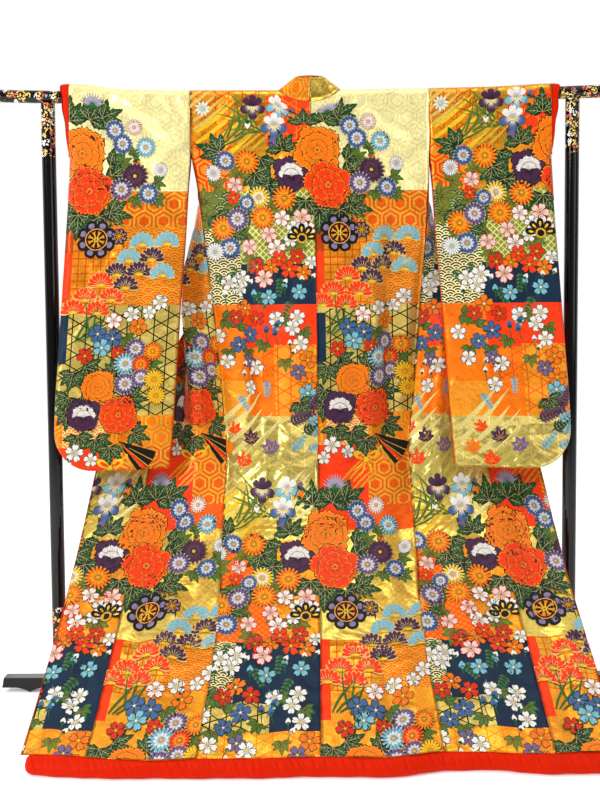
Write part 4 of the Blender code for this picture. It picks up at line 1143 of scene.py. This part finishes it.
ACROSS = {2: (-1.0, 1.0), 3: (-1.0, 0.0, 1.0), 5: (-1.0, -0.9, 0.0, 0.9, 1.0),
          7: (-1.0, -0.86, -0.46, 0.0, 0.46, 0.86, 1.0)}
NOTCHES = {2: (0.0, 0.0), 3: (0.0, 1.0, 0.0), 5: (0.2, 0.1, 1.0, 0.1, 0.2),
           7: (0.6, 0.8, 0.0, 0.9, 0.0, 0.8, 0.6)}
LAYER = 0.00004              # each layer of shapes lies this far above what it covers, metres


def thread(name, share=1.0):
    """Linear colour of a thread, darkened below 1 and lightened above 1; a colour stays as it is."""
    colour = np.array(linear(SILK[name])[:3]) if isinstance(name, str) else name
    return colour * share if share <= 1 else colour + (1 - colour) * (share - 1)


def mixed(first, second, share):
    """Two threads side by side, which read as one colour between them."""
    return thread(first) * (1 - share) + thread(second) * share


def shape(outline, at, turn, long, wide, root, tip, edge=None, cross=2, notch=0.0, bend=0.0):
    """One petal: its faces' corners on the cloth and their colours; 5 points across give an edge."""
    root, tip = thread(root), thread(tip)
    along, half = (np.array(column)[:, None] for column in OUTLINES[outline])
    side, dent = (np.array(table[cross])[None, :] for table in (ACROSS, NOTCHES))
    x = along * long * (1 - notch * dent * along ** 4)
    y = side * half * wide / 2 + bend * long * along ** 2
    cos, sin = polar(turn)
    points = np.stack((at[0] + x * cos - y * sin, at[1] + x * sin + y * cos), axis=-1).reshape(-1, 2)
    blend = ease(0.05, 0.60, along)[..., None]
    colours = root + (tip - root) * blend + np.zeros((1, cross, 1))
    if edge is not None:
        flanks = (np.abs(side) > 0.99) * (along > 0.3) * (cross > 3)
        rim = np.maximum(ease(0.90, 1.0, along) + 0 * side, flanks)
        colours = colours + (thread(edge) - colours) * rim[..., None]
    faces = quads(np.arange(len(points)).reshape(len(along), cross))
    return points[faces], colours.reshape(-1, 3)[faces]


def ring(count, reach, outline, long, wide, root, tip, start=0.0, span=360.0, at=(0.0, 0.0), **more):
    """Petals round a centre, as layers; where they are wide, every second one lies over the others."""
    shapes = []
    for k in range(count):
        turn = start + span * k / (count if span == 360.0 else max(count - 1, 1))
        x, y = polar(turn, reach)
        shapes.append(shape(outline, (at[0] + x, at[1] + y), turn, long, wide, root, tip, **more))
    if wide * count < math.radians(span) * (reach + 0.6 * long):
        return [shapes]
    last = [shapes[-1:]] if count % 2 and span == 360.0 else []
    return [shapes[:count - len(last):2], shapes[1::2]] + last


def lined_ring(count, reach, long, wide, root, tip, edge, start, span=360.0, at=(0.0, 0.0), line="black"):
    """Broad wavy petals, each with a thin dark line round it; every second one is longer and on top."""
    layers = []
    for first in (0, 1):
        for grow, low, high, rim in ((1.05, line, line, None), (1.0, root, tip, edge)):
            shapes = []
            for k in range(first, count, 2):
                turn = start + span * k / (count if span == 360.0 else count - 1)
                x, y = polar(turn, reach)
                share = grow * (0.90 + 0.10 * first + 0.05 * math.sin(2.4 * k + start))
                shapes.append(shape("broad", (at[0] + x, at[1] + y), turn + 4 * math.sin(3.1 * k),
                                    long * share, wide * grow, low, high, edge=rim, cross=7, notch=0.17))
            layers.append(shapes)
    return layers


def dot(radius, colour, at=(0.0, 0.0), rim=None):
    """A layer that is one filled circle."""
    return [[shape("disc", (at[0] - radius, at[1]), 0.0, 2 * radius, 2 * radius, colour,
                   colour if rim is None else rim, cross=7 if radius > 0.012 else 3)]]


# %% Flowers
def mum(r, spin, body, heart):
    inner = mixed(body, heart, {"white": 0.72, "gold": 0.05}.get(heart, 0.40))
    pale = thread(heart, 0.95)
    return (ring(18, 0.13 * r, "petal", 0.91 * r, 0.27 * r, "black", "black", spin)
            + ring(18, 0.15 * r, "petal", 0.86 * r, 0.205 * r, thread(body, 0.40), body, spin, edge=pale)
            + ring(11, 0.07 * r, "petal", 0.54 * r, 0.23 * r, thread(body, 0.35), inner, spin + 9)
            + dot(0.13 * r, "yellow", rim="gold"))


def peony(r, spin, body, rim, heart=None):
    """Rings of broad wavy petals; some hold a pale cup that opens upwards."""
    dark, edge = thread(body, 0.38), mixed(body, rim, 0.55)
    if heart is None:
        return (lined_ring(8, 0.16 * r, 0.86 * r, 0.68 * r, dark, body, edge, spin, line="brown")
                + lined_ring(6, 0.08 * r, 0.64 * r, 0.64 * r, dark, body, edge, spin + 20, line="brown")
                + lined_ring(4, 0.0, 0.42 * r, 0.50 * r, dark, body, edge, spin + 50, line="brown")
                + ring(7, 0.02 * r, "petal", 0.12 * r, 0.07 * r, dark, "amber", spin))
    pale = mixed(heart, body, 0.08)
    return (lined_ring(8, 0.12 * r, 0.88 * r, 0.66 * r, dark, body, body, 10.0)
            + lined_ring(6, 0.05 * r, 0.66 * r, 0.36 * r, thread(heart, 0.45), pale, pale, -172.0, 164.0,
                         (0.0, 0.10 * r), "plum")
            + lined_ring(4, 0.0, 0.46 * r, 0.52 * r, thread(heart, 0.55), pale, pale, -135.0, 90.0,
                         (0.0, 0.20 * r), "plum")
            + lined_ring(4, 0.0, 0.52 * r, 0.56 * r, dark, body, body, 25.0, 130.0, (0.0, 0.20 * r)))


def blossom(r, spin, body, heart):
    outline = thread(heart if heart == "red" else "pine_green", 0.7)
    return (ring(5, 0.02 * r, "cherry", 1.02 * r, 0.78 * r, outline, outline, spin, cross=3, notch=0.10)
            + ring(5, 0.07 * r, "cherry", 0.91 * r, 0.66 * r, thread(body, 0.72), body, spin, cross=3,
                   notch=0.16)
            + ring(5, 0.05 * r, "spear", 0.45 * r, 0.07 * r, "yellow", "olive", spin)
            + dot(0.11 * r, heart))


def star(r, spin, body, heart):
    return (ring(10, 0.1 * r, "leaf", 0.9 * r, 0.28 * r, heart, body, spin)
            + dot(0.16 * r, "yellow"))


def iris(r, spin, upper, lower):
    wavy = {"cross": 7, "notch": 0.12}
    return (ring(3, 0.05 * r, "broad", 1.0 * r, 0.66 * r, "black", thread(lower, 0.5), 20, 140.0, **wavy)
            + ring(3, 0.08 * r, "broad", 0.92 * r, 0.54 * r, "white", lower, 20, 140.0, **wavy)
            + ring(3, 0.0, "broad", 0.95 * r, 0.50 * r, thread(upper, 0.45), upper, -140, 100.0, **wavy)
            + ring(3, 0.02 * r, "spear", 0.55 * r, 0.10 * r, "yellow", "yellow", 20, 140.0))


def bud(r, spin, turn, body):
    return [[shape("blade", (0, 0), turn + 180, 2.2 * r, 0.18 * r, "leaf_green", "pine_green", bend=0.15)],
            [shape("leaf", (0, 0), turn, 1.7 * r, 1.1 * r, thread(body, 0.7), body, cross=3)],
            [shape("leaf", (0, 0), turn, 0.8 * r, 0.9 * r, "leaf_green", "pine_green")]]


def thistle(r, spin, body):
    return (ring(11, 0.0, "spear", 1.1 * r, 0.2 * r, thread(body, 0.6), thread(body, 1.3), -160, 140.0)
            + [[shape("leaf", (0, 0.35 * r), -90, 0.7 * r, 0.6 * r, "pine_green", "leaf_green", cross=3)]])


print("layers of a peony", len(peony(0.06, 0.0, "orange", "yellow")))

# %% Leaves, grass and sprigs
def leaves(r, spin, turn, body, vein):
    """Five lobed blades from one point, each with a mid vein and three pairs of side veins."""
    low, high, veins = [], [], []
    line = mixed(vein, body, 0.42)
    for k, (lean, share) in enumerate(((-80, 1.0), (-40, 1.15), (-2, 1.35), (38, 1.15), (78, 0.95))):
        way, long, bend = turn + lean, r * share, 0.08 * (-1) ** k
        (high if k % 2 else low).append(shape("lobed", (0, 0), way, long, 0.60 * r, thread(body, 0.40),
                                              mixed(body, "leaf_green", 0.15), cross=3, bend=bend))
        cos, sin = polar(way)
        veins.append(shape("spear", (0, 0), way, 0.88 * long, 0.030 * r, line, line, bend=bend))
        for t in (0.24, 0.42, 0.60):
            x, y = t * long, bend * long * t * t
            for tilt in (-42, 42):
                veins.append(shape("spear", (x * cos - y * sin, x * sin + y * cos), way + tilt,
                                   (0.40 - 0.35 * t) * long, 0.017 * r, line, line))
    return [low, high, veins]


def mist(r, spin, turn, body):
    """Long curved streaks of one thread, like haze; where broad, lighter ones are painted sheen and darker
    ones painted shade of folds.
    """
    cos, sin = polar(turn)
    streaks = []
    for k in range(5):
        aside, short = (k - 2) * 0.26 * r, 1 - 0.2 * (k % 3)
        at = (aside * -sin - 0.8 * r * cos * short, aside * cos - 0.8 * r * sin * short)
        streaks.append(shape("blade", at, turn, (1.8 - 0.3 * (k % 3)) * r, 0.13 * r, thread(body, 0.9),
                             body, cross=3, bend=0.12))
    return [streaks]


def grass(r, spin, turn, body):
    return [[shape("blade", (k * 0.16 * r, 0.6 * r), turn + k * 14, (1.9 - 0.25 * k) * r, 0.09 * r,
                   "leaf_green", body, bend=0.22) for k in range(3)]]


def sprig(r, spin, turn, body, long=0.50, wide=0.22, pairs=5):
    """A stem with pairs of small leaves."""
    cos, sin = polar(turn)
    stem = shape("blade", (0, 0), turn, 1.9 * r, 0.07 * r, thread(body, 0.6), thread(body, 0.8))
    blades = []
    for k in range(pairs):
        t = 0.20 + 1.6 * k / pairs
        for lean in (-52, 52):
            blades.append(shape("leaf", (cos * r * t, sin * r * t), turn + lean,
                                long * r * (1 - 0.5 * k / pairs), wide * r, thread(body, 0.6),
                                thread(body, 1.04)))
    return [[stem], blades]


def fern(r, spin, turn, body):
    return sprig(r, spin, turn, body, long=0.52, wide=0.17, pairs=8)


def maple(r, spin, body):
    lobes = ((0, 1.0), (42, 0.92), (-42, 0.92), (84, 0.72), (-84, 0.72), (122, 0.45), (-122, 0.45))
    way = -90 + spin % 40
    return [[shape("blade", (0, 0), way + 180, 0.8 * r, 0.07 * r, thread(body, 0.6), body)],
            [shape("leaf", (0, 0), way + lean, long * r, 0.44 * r, thread(body, 0.8), body)
             for lean, long in lobes],
            [shape("spear", (0, 0), way + lean, 0.8 * long * r, 0.05 * r, "gold", "gold")
             for lean, long in lobes]]


def pine(r, spin, body):
    at, glint = (0.0, 0.42 * r), mixed("gold", "cream", 0.4)
    return (ring(9, 0.0, "petal", 1.06 * r, 0.42 * r, "gold", glint, -186, 192.0, at=at)
            + ring(9, 0.06 * r, "petal", 0.95 * r, 0.34 * r, thread(body, 0.5), body, -180, 180.0, at=at)
            + ring(8, 0.10 * r, "spear", 0.62 * r, 0.035 * r, "gold", "cream", -169, 158.0, at=at)
            + [[shape("leaf", (-0.4 * r, 0.45 * r), 0, 0.8 * r, 0.26 * r, "gold", "yellow")]])


print("layers of a sprig", len(sprig(0.03, 0.0, 90.0, "plum")))

# %% Wheels, fans and bows
def wheel(r, spin):
    """A flower-shaped wheel: a scalloped black rim, violet panels and eight spokes on orange."""
    return (ring(8, 0.30 * r, "petal", 0.70 * r, 0.62 * r, "black", "black", 22.5, cross=5)
            + ring(8, 0.54 * r, "petal", 0.33 * r, 0.33 * r, thread("violet", 0.8), thread("violet", 1.1),
                   22.5, cross=3)
            + dot(0.57 * r, "gold") + dot(0.52 * r, "black") + dot(0.43 * r, "orange")
            + ring(8, 0.10 * r, "leaf", 0.44 * r, 0.15 * r, "black", "black")
            + ring(8, 0.14 * r, "petal", 0.24 * r, 0.08 * r, "yellow", "gold", 22.5)
            + dot(0.17 * r, "black") + ring(6, 0.03 * r, "petal", 0.13 * r, 0.09 * r, "gold", "yellow"))


def cart(r, spin):
    return (ring(5, 0.25 * r, "petal", 0.8 * r, 0.5 * r, "black", "black", -170, 160.0)
            + ring(5, 0.45 * r, "petal", 0.38 * r, 0.16 * r, "gold", "yellow", -170, 160.0)
            + dot(0.36 * r, "gold") + dot(0.24 * r, "black"))


def scroll(r, spin):
    return [[shape("blade", (0.3 * r * (k - 1.5), 0.2 * r * lean), 90 * lean - 20 * k, 0.7 * r, 0.10 * r,
                   "gold", "black", bend=0.5 * lean) for k in range(4) for lean in (-1, 1)]]


def fan(r, spin):
    """A folded fan, its ribs spread a little from the rivet, with a trailing cord."""
    ribs = [[shape("rib", (-0.95 * r, -0.55 * r), turn, 2.1 * r, wide * r, body, body)]
            for turn, wide, body in ((22, 0.50, "black"), (36, 0.50, "black"), (29, 0.05, "gold"),
                                     (45, 0.16, "vermilion"), (53, 0.26, "black"), (40, 0.06, "gold"),
                                     (60, 0.10, "gold"))]
    cords = [shape("blade", (-0.5 * r, 0.1 * r), turn, 0.9 * r, 0.10 * r, "yellow", "gold",
                   bend=bend) for turn, bend in ((118, 0.3), (85, -0.3))]
    return ribs + [cords]


def bow(r, spin):
    loops = [shape("petal", (0, 0), turn, 1.2 * r, 0.6 * r, "gold", "yellow", cross=3)
             for turn in (-150, -30)]
    inside = [shape("petal", (0, 0), turn, 0.9 * r, 0.3 * r, "rust", "vermilion")
              for turn in (-150, -30)]
    tails = [shape("blade", (0, 0), turn, 1.5 * r, 0.12 * r, "gold", "yellow", bend=0.2)
             for turn in (60, 100, 130)]
    return [tails, loops, inside] + dot(0.18 * r, "yellow")


DRAWN = {make.__name__: make for make in (mum, peony, blossom, star, iris, bud, thistle, leaves, grass,
                                          mist, sprig, fern, maple, pine, wheel, cart, scroll, fan, bow)}
print("kinds of motif", len(DRAWN))

# %% [markdown]
# ### Where the motifs lie
# Each row names a kind of motif and its threads, then each place where it lies: how far across and
# down the cloth, how big it is, in millimetres, and its direction in degrees. They are in the order of
# weaving, so a later one lies over an earlier one. All start again further down, a little longer.

# %% Table of motifs
# The broad mist streaks on the shoulders and over the pale gold band lower down are partly haze and partly
# painted light: the lighter straw and yellow threads are painted sheen, the dull olive one is painted shade
# of folds.
MOTIFS = {
    "A": """
        mist yellow: 229 136 93 -148
        mist pale: 284 58 71 -148
        mist gold: 169 141 66 -148
        mist straw: 202 933 109 -140
        mist moss: 150 1038 100 -140
        mist cream: 55 1124 82 -140
        grass olive: 120 91 60 -30, 142 69 66 -60, 169 80 60 -120, 202 102 66 -145, 229 125 60 -160
        leaves pine_green cream: 16 97 50 -90, 243 179 50 -20, 136 193 53 80, 153 233 50 120
        leaves pine_green cream: 123 265 57 100, 22 307 53 90, 76 174 47 -80, 90 289 50 110
        leaves olive gold: 300 307 41 -180, 229 313 35 150, 197 243 33 -90, 180 393 35 20, 295 350 35 140
        leaves pine_green cream: 262 345 40 120
        leaves olive gold: 164 457 35 60
        leaves pine_green cream: 229 393 40 160
        leaves olive gold: 273 409 33 -180, 98 414 35 60, 55 422 33 120, 109 323 33 20
        leaves pine_green cream: 180 334 37 60
        leaves olive gold: 268 270 33 -150
        iris plum plum: 153 58 34
        iris white skyblue: 85 55 33
        iris white blue: 96 108 36
        bud white: 167 94 14 90
        bud violet: 55 58 14 -120
        bud orange: 55 83 16 -120
        bud violet: 109 166 19 -120
        star white skyblue: 287 64 22
        mum blue white: 229 201 27
        mum orange yellow: 172 203 33
        mum white blue: 265 233 22
        peony plum violet white: 55 235 52
        peony orange yellow: -19 174 68
        peony vermilion yellow: -41 267 66
        blossom blush red: 210 265 22
        blossom vermilion yellow: 216 299 19
        mum yellow white: 147 299 30
        mum orange yellow: 79 302 33, 139 353 33, 248 379 33
        mum violet white: 207 355 30
        mum blue white: 232 433 30
        mum white skyblue: 273 441 25
        mum blue white: 180 313 22
        blossom white red: 87 355 22
        blossom blush red: 33 353 25
        blossom white orange: 55 382 22
        blossom white red: 19 385 22
        blossom blush red: 123 398 22, 177 430 22
        blossom white red: 104 435 25
        blossom white yellow: 66 414 19
        cart: 35 409 38
        sprig leaf_green: 273 500 33 120, 218 484 33 60, 93 510 33 80, 164 548 33 120, 66 575 33 60
        sprig skyblue: 120 602 33 100
        blossom red yellow: 158 484 25
        blossom orange yellow: 120 486 22
        blossom red yellow: 49 457 22
        blossom vermilion yellow: 71 492 25
        blossom orange yellow: 33 500 22
        blossom vermilion yellow: 98 462 22
        blossom blush red: 139 516 25
        blossom white yellow: 202 516 25, 213 545 22, 240 526 22
        blossom skyblue white: 46 553 22, 128 567 22
        blossom white yellow: 11 473 19
        bud skyblue: 167 567 14 -90, 85 548 14 -90
        bud white: 87 532 11 -120, 38 526 11 -90, 11 518 11 -120, 251 567 14 -90, 180 532 11 -120
        leaves leaf_green gold: 227 650 30 -120, 259 623 30 160, 93 623 25 120, 142 688 25 60
        leaves leaf_green gold: 38 656 25 120, 191 710 25 90, 246 710 25 90
        leaves olive gold: 87 737 25 90
        blossom orange white: 199 596 25
        blossom red yellow: 227 621 22, 161 623 22
        blossom white yellow: 109 626 22, 52 621 22, 66 650 22, 44 691 22
        blossom blue white: 183 667 25, 221 696 22
        blossom white yellow: 273 672 22
        blossom white orange: 251 742 22
        bud white: 74 699 11 -90, 68 721 11 -120
        bud blue: 136 664 14 -90, 112 648 14 -120, 112 672 14 -80
        blossom violet white: 188 740 22
        blossom white yellow: 164 756 22
        bud white: 210 756 11 -120, 210 783 11 -90, 177 783 11 -60
        blossom white yellow: 188 813 22
        sprig skyblue: 136 791 27 90, 224 835 30 120
        blossom orange yellow: 25 737 25
        blossom violet yellow: 52 769 22
        blossom orange yellow: 22 794 25
        blossom skyblue white: 27 827 25
        leaves pine_green cream: 49 851 40 120
        fern plum: 82 908 46 -160, 22 878 41 -120
        fern pine_green: 44 938 46 -150
        sprig skyblue: 27 911 35 -150, 71 988 35 -130, 30 982 33 -160, 11 949 27 -120
        maple plum: 180 958 33
        maple violet: 126 982 33
        maple vermilion: 202 1021 33
        maple orange: 251 988 30
        maple vermilion: 229 933 27
    """,
    "B": """
        mist amber: 112 1052 50 -50
        leaves pine_green cream: -16 97 50 -90, 38 91 50 -60, 71 83 47 -30, 93 203 50 0, 98 227 53 40
        leaves pine_green cream: -22 302 53 100, 14 329 53 90, 68 334 57 60, 98 323 47 10, -33 233 47 160
        leaves leaf_green gold: 123 195 25 -30, 213 241 27 20, 218 286 25 40, 164 281 27 60
        leaves leaf_green gold: 153 174 25 -50
        thistle violet: 46 55 33
        peony orange yellow: 19 174 68
        peony vermilion yellow: 41 267 66
        mum blue white: 106 111 27, 126 144 27
        mum skyblue white: 188 152 27
        mum blush white: 156 100 22
        bud orange: 158 182 16 60
        mum plum gold: 161 227 35
        mum violet white: 126 262 30
        mum blue white: 199 273 27
        mum white blue: 229 211 19
        scroll: 120 371 55
        wheel: 66 395 52, 126 387 22
        pine skyblue: 188 395 33, 254 393 33, 156 438 33
        pine plum: 216 435 33, 126 476 33, 183 473 33, 150 510 33
        pine skyblue: 246 478 33
        pine vermilion: 85 502 33, 46 543 33, 115 543 33, 16 575 33, 79 578 33
        blossom white yellow: 246 564 22, 172 596 22
        blossom white red: 126 613 22
        blossom orange yellow: 191 629 25
        blossom white yellow: 218 591 19
        leaves leaf_green gold: 158 656 27 60
        leaves pine_green cream: 55 737 43 20, 27 753 40 100, 19 818 43 120, 16 856 40 90, 177 824 43 0
        leaves pine_green cream: 46 922 43 80, 93 933 43 60, 131 955 43 90, 191 917 40 20
        leaves leaf_green gold: 229 726 27 0
        leaves pine_green cream: 136 753 37 -60
        grass leaf_green: 66 623 55 -110, 27 634 55 -70
        blossom blue white: 85 648 25, 126 661 25
        blossom skyblue white: 98 685 25
        blossom red yellow: 55 707 22, 142 699 19
        mum violet white: 188 688 27
        mum orange yellow: 235 696 25
        mum skyblue white: 164 729 30
        mum vermilion yellow: 205 731 25
        mum violet white: 167 783 30, 207 767 25
        mum yellow orange: 243 772 27, 251 816 25
        peony orange yellow: 96 791 49
        peony plum violet white: 60 865 49
        peony vermilion yellow: 153 867 55
        fan: 202 969 49
        bow: 134 1010 33
        blossom white gold: 38 969 25, 82 988 19, 16 1004 19
    """,
}
REPEAT_START, REPEAT_STRETCH = 1.026, 1.17


STACK_CELL, STACK_MARGIN = 0.005, 60       # heights are kept on a grid of cells, metres and cells


def motif_rows(unit):
    """The rows of a unit: kind, threads, then its numbers."""
    for line in MOTIFS[unit].strip().splitlines():
        names, spots = line.split(":")
        kind, *threads = names.split()
        for spot in spots.split(","):
            yield kind, threads, *map(float, spot.split())


def placed_motifs(unit, longest):
    """Every shape of a unit on its cloth: corners, colours and height.

    A layer lies just above the highest shape that it covers, so the whole stays as flat as cloth.
    """
    tops = np.zeros((int(1.3 * longest / STACK_CELL) + 2 * STACK_MARGIN,) * 2)
    laid = []
    for again in (False, True):
        chance = np.random.default_rng(11)
        for kind, threads, across, down, size, *turn in motif_rows(unit):
            centre = np.array((across, down)) / 1000
            for layer in DRAWN[kind](size / 1000, chance.uniform(0, 360), *turn, *threads):
                corners = np.concatenate([part[0] for part in layer]) + centre
                if again:
                    corners[..., 1] = REPEAT_START + REPEAT_STRETCH * corners[..., 1]
                if corners[..., 1].min() > longest:
                    continue
                middle = corners.mean(axis=1, keepdims=True)
                edges = (corners + np.roll(corners, 1, axis=1)) / 2
                spots = np.concatenate((corners, edges, middle), axis=1).reshape(-1, 2)
                i, j = (np.rint(spots / STACK_CELL).astype(int) + STACK_MARGIN).T
                high = tops[i, j].max() + LAYER
                tops[i, j] = high
                laid.append((corners, np.concatenate([part[1] for part in layer]), high))
    return laid


# %% Laying the motifs on the panels
SILK_PROUD = 0.0003             # the lowest thread floats stand this far above the ground
CHORD_ERROR = 0.00014           # a face that leaves the cloth by more than this is split


def locate(panel, flat):
    """Places and normals of a panel at points of its cloth, and which of them lie on it."""
    across, down = flat.T
    downs, grid, out, place = (panel[key] for key in ("downs", "grid", "out", "across"))
    rows = np.interp(down, downs, np.arange(len(downs)))
    i = np.minimum(rows.astype(int), len(downs) - 2)
    f = (rows - i)[:, None]
    first, last = (place[i, k] * (1 - f[:, 0]) + place[i + 1, k] * f[:, 0] for k in (0, -1))
    share = (across - first) / (last - first)
    columns = np.clip(share, 0.0, 1.0) * (grid.shape[1] - 1)
    j = np.minimum(columns.astype(int), grid.shape[1] - 2)
    g = (columns - j)[:, None]
    found = [(1 - f) * ((1 - g) * table[i, j] + g * table[i, j + 1])
             + f * ((1 - g) * table[i + 1, j] + g * table[i + 1, j + 1]) for table in (grid, out)]
    on_it = (share > 0.0) & (share < 1.0) & (down > downs[0]) & (down < downs[-1])
    return found[0], found[1] / np.linalg.norm(found[1], axis=1, keepdims=True), on_it


def halved(values, turn):
    """Splits four-sided faces, given by values at their corners, across two of their edges."""
    values = np.roll(values, -turn, axis=1)
    first, second = ((values[:, k] + values[:, k + 1]) / 2 for k in (0, 2))
    halves = np.concatenate((np.stack((values[:, 0], first, second, values[:, 3]), axis=1),
                             np.stack((first, values[:, 1], values[:, 2], second), axis=1)))
    return np.roll(halves, turn, axis=1)


def weave_flowers(name, panel, drawings, shift):
    """All the motifs that show on one panel, as one mesh that lies on it, finer where it bends."""
    low, top, reach = panel["downs"][0], panel["downs"][-1], panel["across"].max()
    parts = [(corners + shift, dyes, np.full((len(corners), 4, 1), level))
             for corners, dyes, level in drawings]
    flat, tints, high = (np.concatenate(part) for part in zip(*parts))
    over = ((flat[..., 1].max(axis=1) > low) & (flat[..., 1].min(axis=1) < top)
            & (flat[..., 0].max(axis=1) > 0) & (flat[..., 0].min(axis=1) < reach))
    flat, tints, high = flat[over], tints[over], high[over]
    for turn in (0, 1) * 3:
        corners = locate(panel, flat.reshape(-1, 2))[0].reshape(-1, 4, 3)
        bent = np.zeros(len(flat), dtype=bool)
        for k in (turn, turn + 2):
            chord, arc = ((part[:, k] + part[:, k - 3]) / 2 for part in (corners, flat))
            bent |= np.linalg.norm(chord - locate(panel, arc)[0], axis=1) > CHORD_ERROR
        flat, tints, high = (np.concatenate((part[~bent], halved(part[bent], turn)))
                             for part in (flat, tints, high))
    place, out, on_it = locate(panel, flat.reshape(-1, 2))
    place = (place + out * (SILK_PROUD + high.reshape(-1, 1)) + (0.0, BAR_Y, 0.0)).reshape(-1, 4, 3)
    normal = np.cross(place[:, 2] - place[:, 0], place[:, 3] - place[:, 1])
    keep = on_it.reshape(-1, 4).any(axis=1) & (np.linalg.norm(normal, axis=1) > 2e-8)
    turned = (np.sum(normal * out.reshape(-1, 4, 3)[:, 0], axis=1) < 0)[:, None, None]
    flat, tints, high, place = (np.where(turned, part[:, ::-1], part)[keep].reshape(-1, part.shape[2])
                                for part in (flat, tints, high, place))
    key = np.rint(np.column_stack((flat * 1e6, high / LAYER))).astype(np.int64) @ (8_000_000_000, 1_000, 1)
    _, used, faces = np.unique(key, return_index=True, return_inverse=True)
    faces = faces.reshape(-1, 4)
    faces = faces[[len(set(face)) == 4 for face in faces.tolist()]]
    piece = cloth_object(name, place[used], faces.tolist(), flat[used, 0], flat[used, 1], (flower_silk,),
                         [0] * len(faces))
    layer = piece.data.color_attributes.new(name="thread", type="FLOAT_COLOR", domain="POINT")
    layer.data.foreach_set("color", np.column_stack((tints[used], np.ones(len(used)))).ravel())
    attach(piece, "root")
    return piece


# %% Floating silk of the flowers
# Untwisted silk that floats over the ground: it hides the weave and shines softly along its strands.
flower_silk, flower_tree, flower_shader = new_material("floated_flower_silk", {
    "Roughness": 0.45, "Specular IOR Level": 0.18})
dyed = node(flower_tree, "Attribute", attribute_name="thread").outputs["Color"]
cloth_place = node(flower_tree, "UVMap", uv_map="cloth")
floats = node(flower_tree, "VectorMath", {0: cloth_place, 1: (0.30, 1.0, 1.0)}, operation="MULTIPLY")
strands = node(flower_tree, "TexNoise", {"Vector": floats, "Scale": THREAD_SCALE, "Detail": 2.0})
tone = node(flower_tree, "Math", {0: strands, 1: 1.0, 2: 0.32}, operation="MULTIPLY_ADD")
join(flower_tree, flower_shader, {
    "Base Color": node(flower_tree, "HueSaturation", {"Value": tone, "Color": dyed}),
    "Normal": node(flower_tree, "Bump", {"Height": strands, "Strength": 0.30, "Distance": 0.0006})})

SLEEVE_SHIFT = {"left": (0.018, 0.014), "right": (0.008, -0.008)}
DRAWINGS = {unit: placed_motifs(unit, LENGTH) for unit in MOTIFS}
total = 0
for name, panel in PANELS.items():
    if panel["unit"] not in DRAWINGS:
        continue
    shift = SLEEVE_SHIFT[name.split("_")[1]] if name.startswith("sleeve") else (0.0, 0.0)
    piece = weave_flowers(name.replace("_brocade", "") + "_flowers", panel, DRAWINGS[panel["unit"]], shift)
    total += 2 * len(piece.data.polygons)
    print(piece.name, 2 * len(piece.data.polygons), "triangles")
print("flowers in all", total, "triangles")

# %% [markdown]
# ## Lacquer stand
# The stand is wood under many coats of black lacquer, polished until it mirrors the room. The ends
# of the bar and the tops and bottoms of the posts carry maki-e: small flowers of gold, coral and
# white powder, sprinkled into wet lacquer. They are too small to model, so they are drawn in the
# material, one flower to a cell of about 14 mm, each broken up into petals by a finer cell pattern.

# %% Lacquer with sprinkled flowers
FLOWER_CELL, PETAL_CELL = 0.014, 0.0052             # metres
# Flowers lie above the top, or between the foot and the low limit, and further out than the side.
MAKIE_TOP, MAKIE_LOW, MAKIE_FOOT, MAKIE_SIDE = 1.445, 0.215, 0.062, 0.672
POWDERS = ((0.0, "#EFC768"), (0.45, "#D8684A"), (0.68, "#FBF6EA"), (0.84, "#0B0B0C"))
lacquer, coats, lacquer_shader = new_material("black_urushi_lacquer", {"Specular IOR Level": 0.35})
place = node(coats, "TexCoord").outputs["Object"]
cells = node(coats, "TexVoronoi", {"Vector": place, "Scale": 1 / FLOWER_CELL})
petals = node(coats, "TexVoronoi", {"Vector": place, "Scale": 1 / PETAL_CELL})
axes = node(coats, "SeparateXYZ", {0: place})
above = node(coats, "Math", {0: axes.outputs[2], 1: MAKIE_TOP}, operation="GREATER_THAN")
below = node(coats, "Math", {0: axes.outputs[2], 1: MAKIE_LOW}, operation="LESS_THAN")
flower = node(coats, "Math", {0: above, 1: below}, operation="MAXIMUM")
aside = node(coats, "Math", {0: axes}, operation="ABSOLUTE")
for value, limit, way in ((cells.outputs["Distance"], 0.60, "LESS_THAN"),
                          (petals.outputs["Distance"], 0.52, "LESS_THAN"),
                          (aside, MAKIE_SIDE, "GREATER_THAN"),
                          (axes.outputs[2], MAKIE_FOOT, "GREATER_THAN")):
    passed = node(coats, "Math", {0: value, 1: limit}, operation=way)
    flower = node(coats, "Math", {0: flower, 1: passed}, operation="MULTIPLY")
powder = node(coats, "ValToRGB", {0: node(coats, "SeparateColor", {0: cells.outputs["Color"]})})
powder.color_ramp.interpolation = "CONSTANT"
steps = powder.color_ramp.elements
for k, (start, colour) in enumerate(POWDERS):
    step = steps[k] if k < 2 else steps.new(start)
    step.position, step.color = start, linear(colour)
painted = node(coats, "Mix", {0: flower, 6: linear("#070709"), 7: powder}, data_type="RGBA").outputs[2]
gloss = node(coats, "Math", {0: flower, 1: 0.30, 2: 0.13}, operation="MULTIPLY_ADD")
join(coats, lacquer_shader, {"Base Color": painted, "Roughness": gloss})

# Brushed and waxed steel for the pins, duller than the lacquer round them.
steel, _, _ = new_material("satin_steel", {
    "Base Color": linear("#B8B8BA"), "Metallic": 1.0, "Roughness": 0.35})
for name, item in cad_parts.items():
    if name.split("_")[0] in ("bar", "base", "post", "foot", "pin"):
        surface = steel if name.startswith("pin") else lacquer
        for slot in item.material_slots:
            slot.material = surface
print("lacquer and steel on the stand")
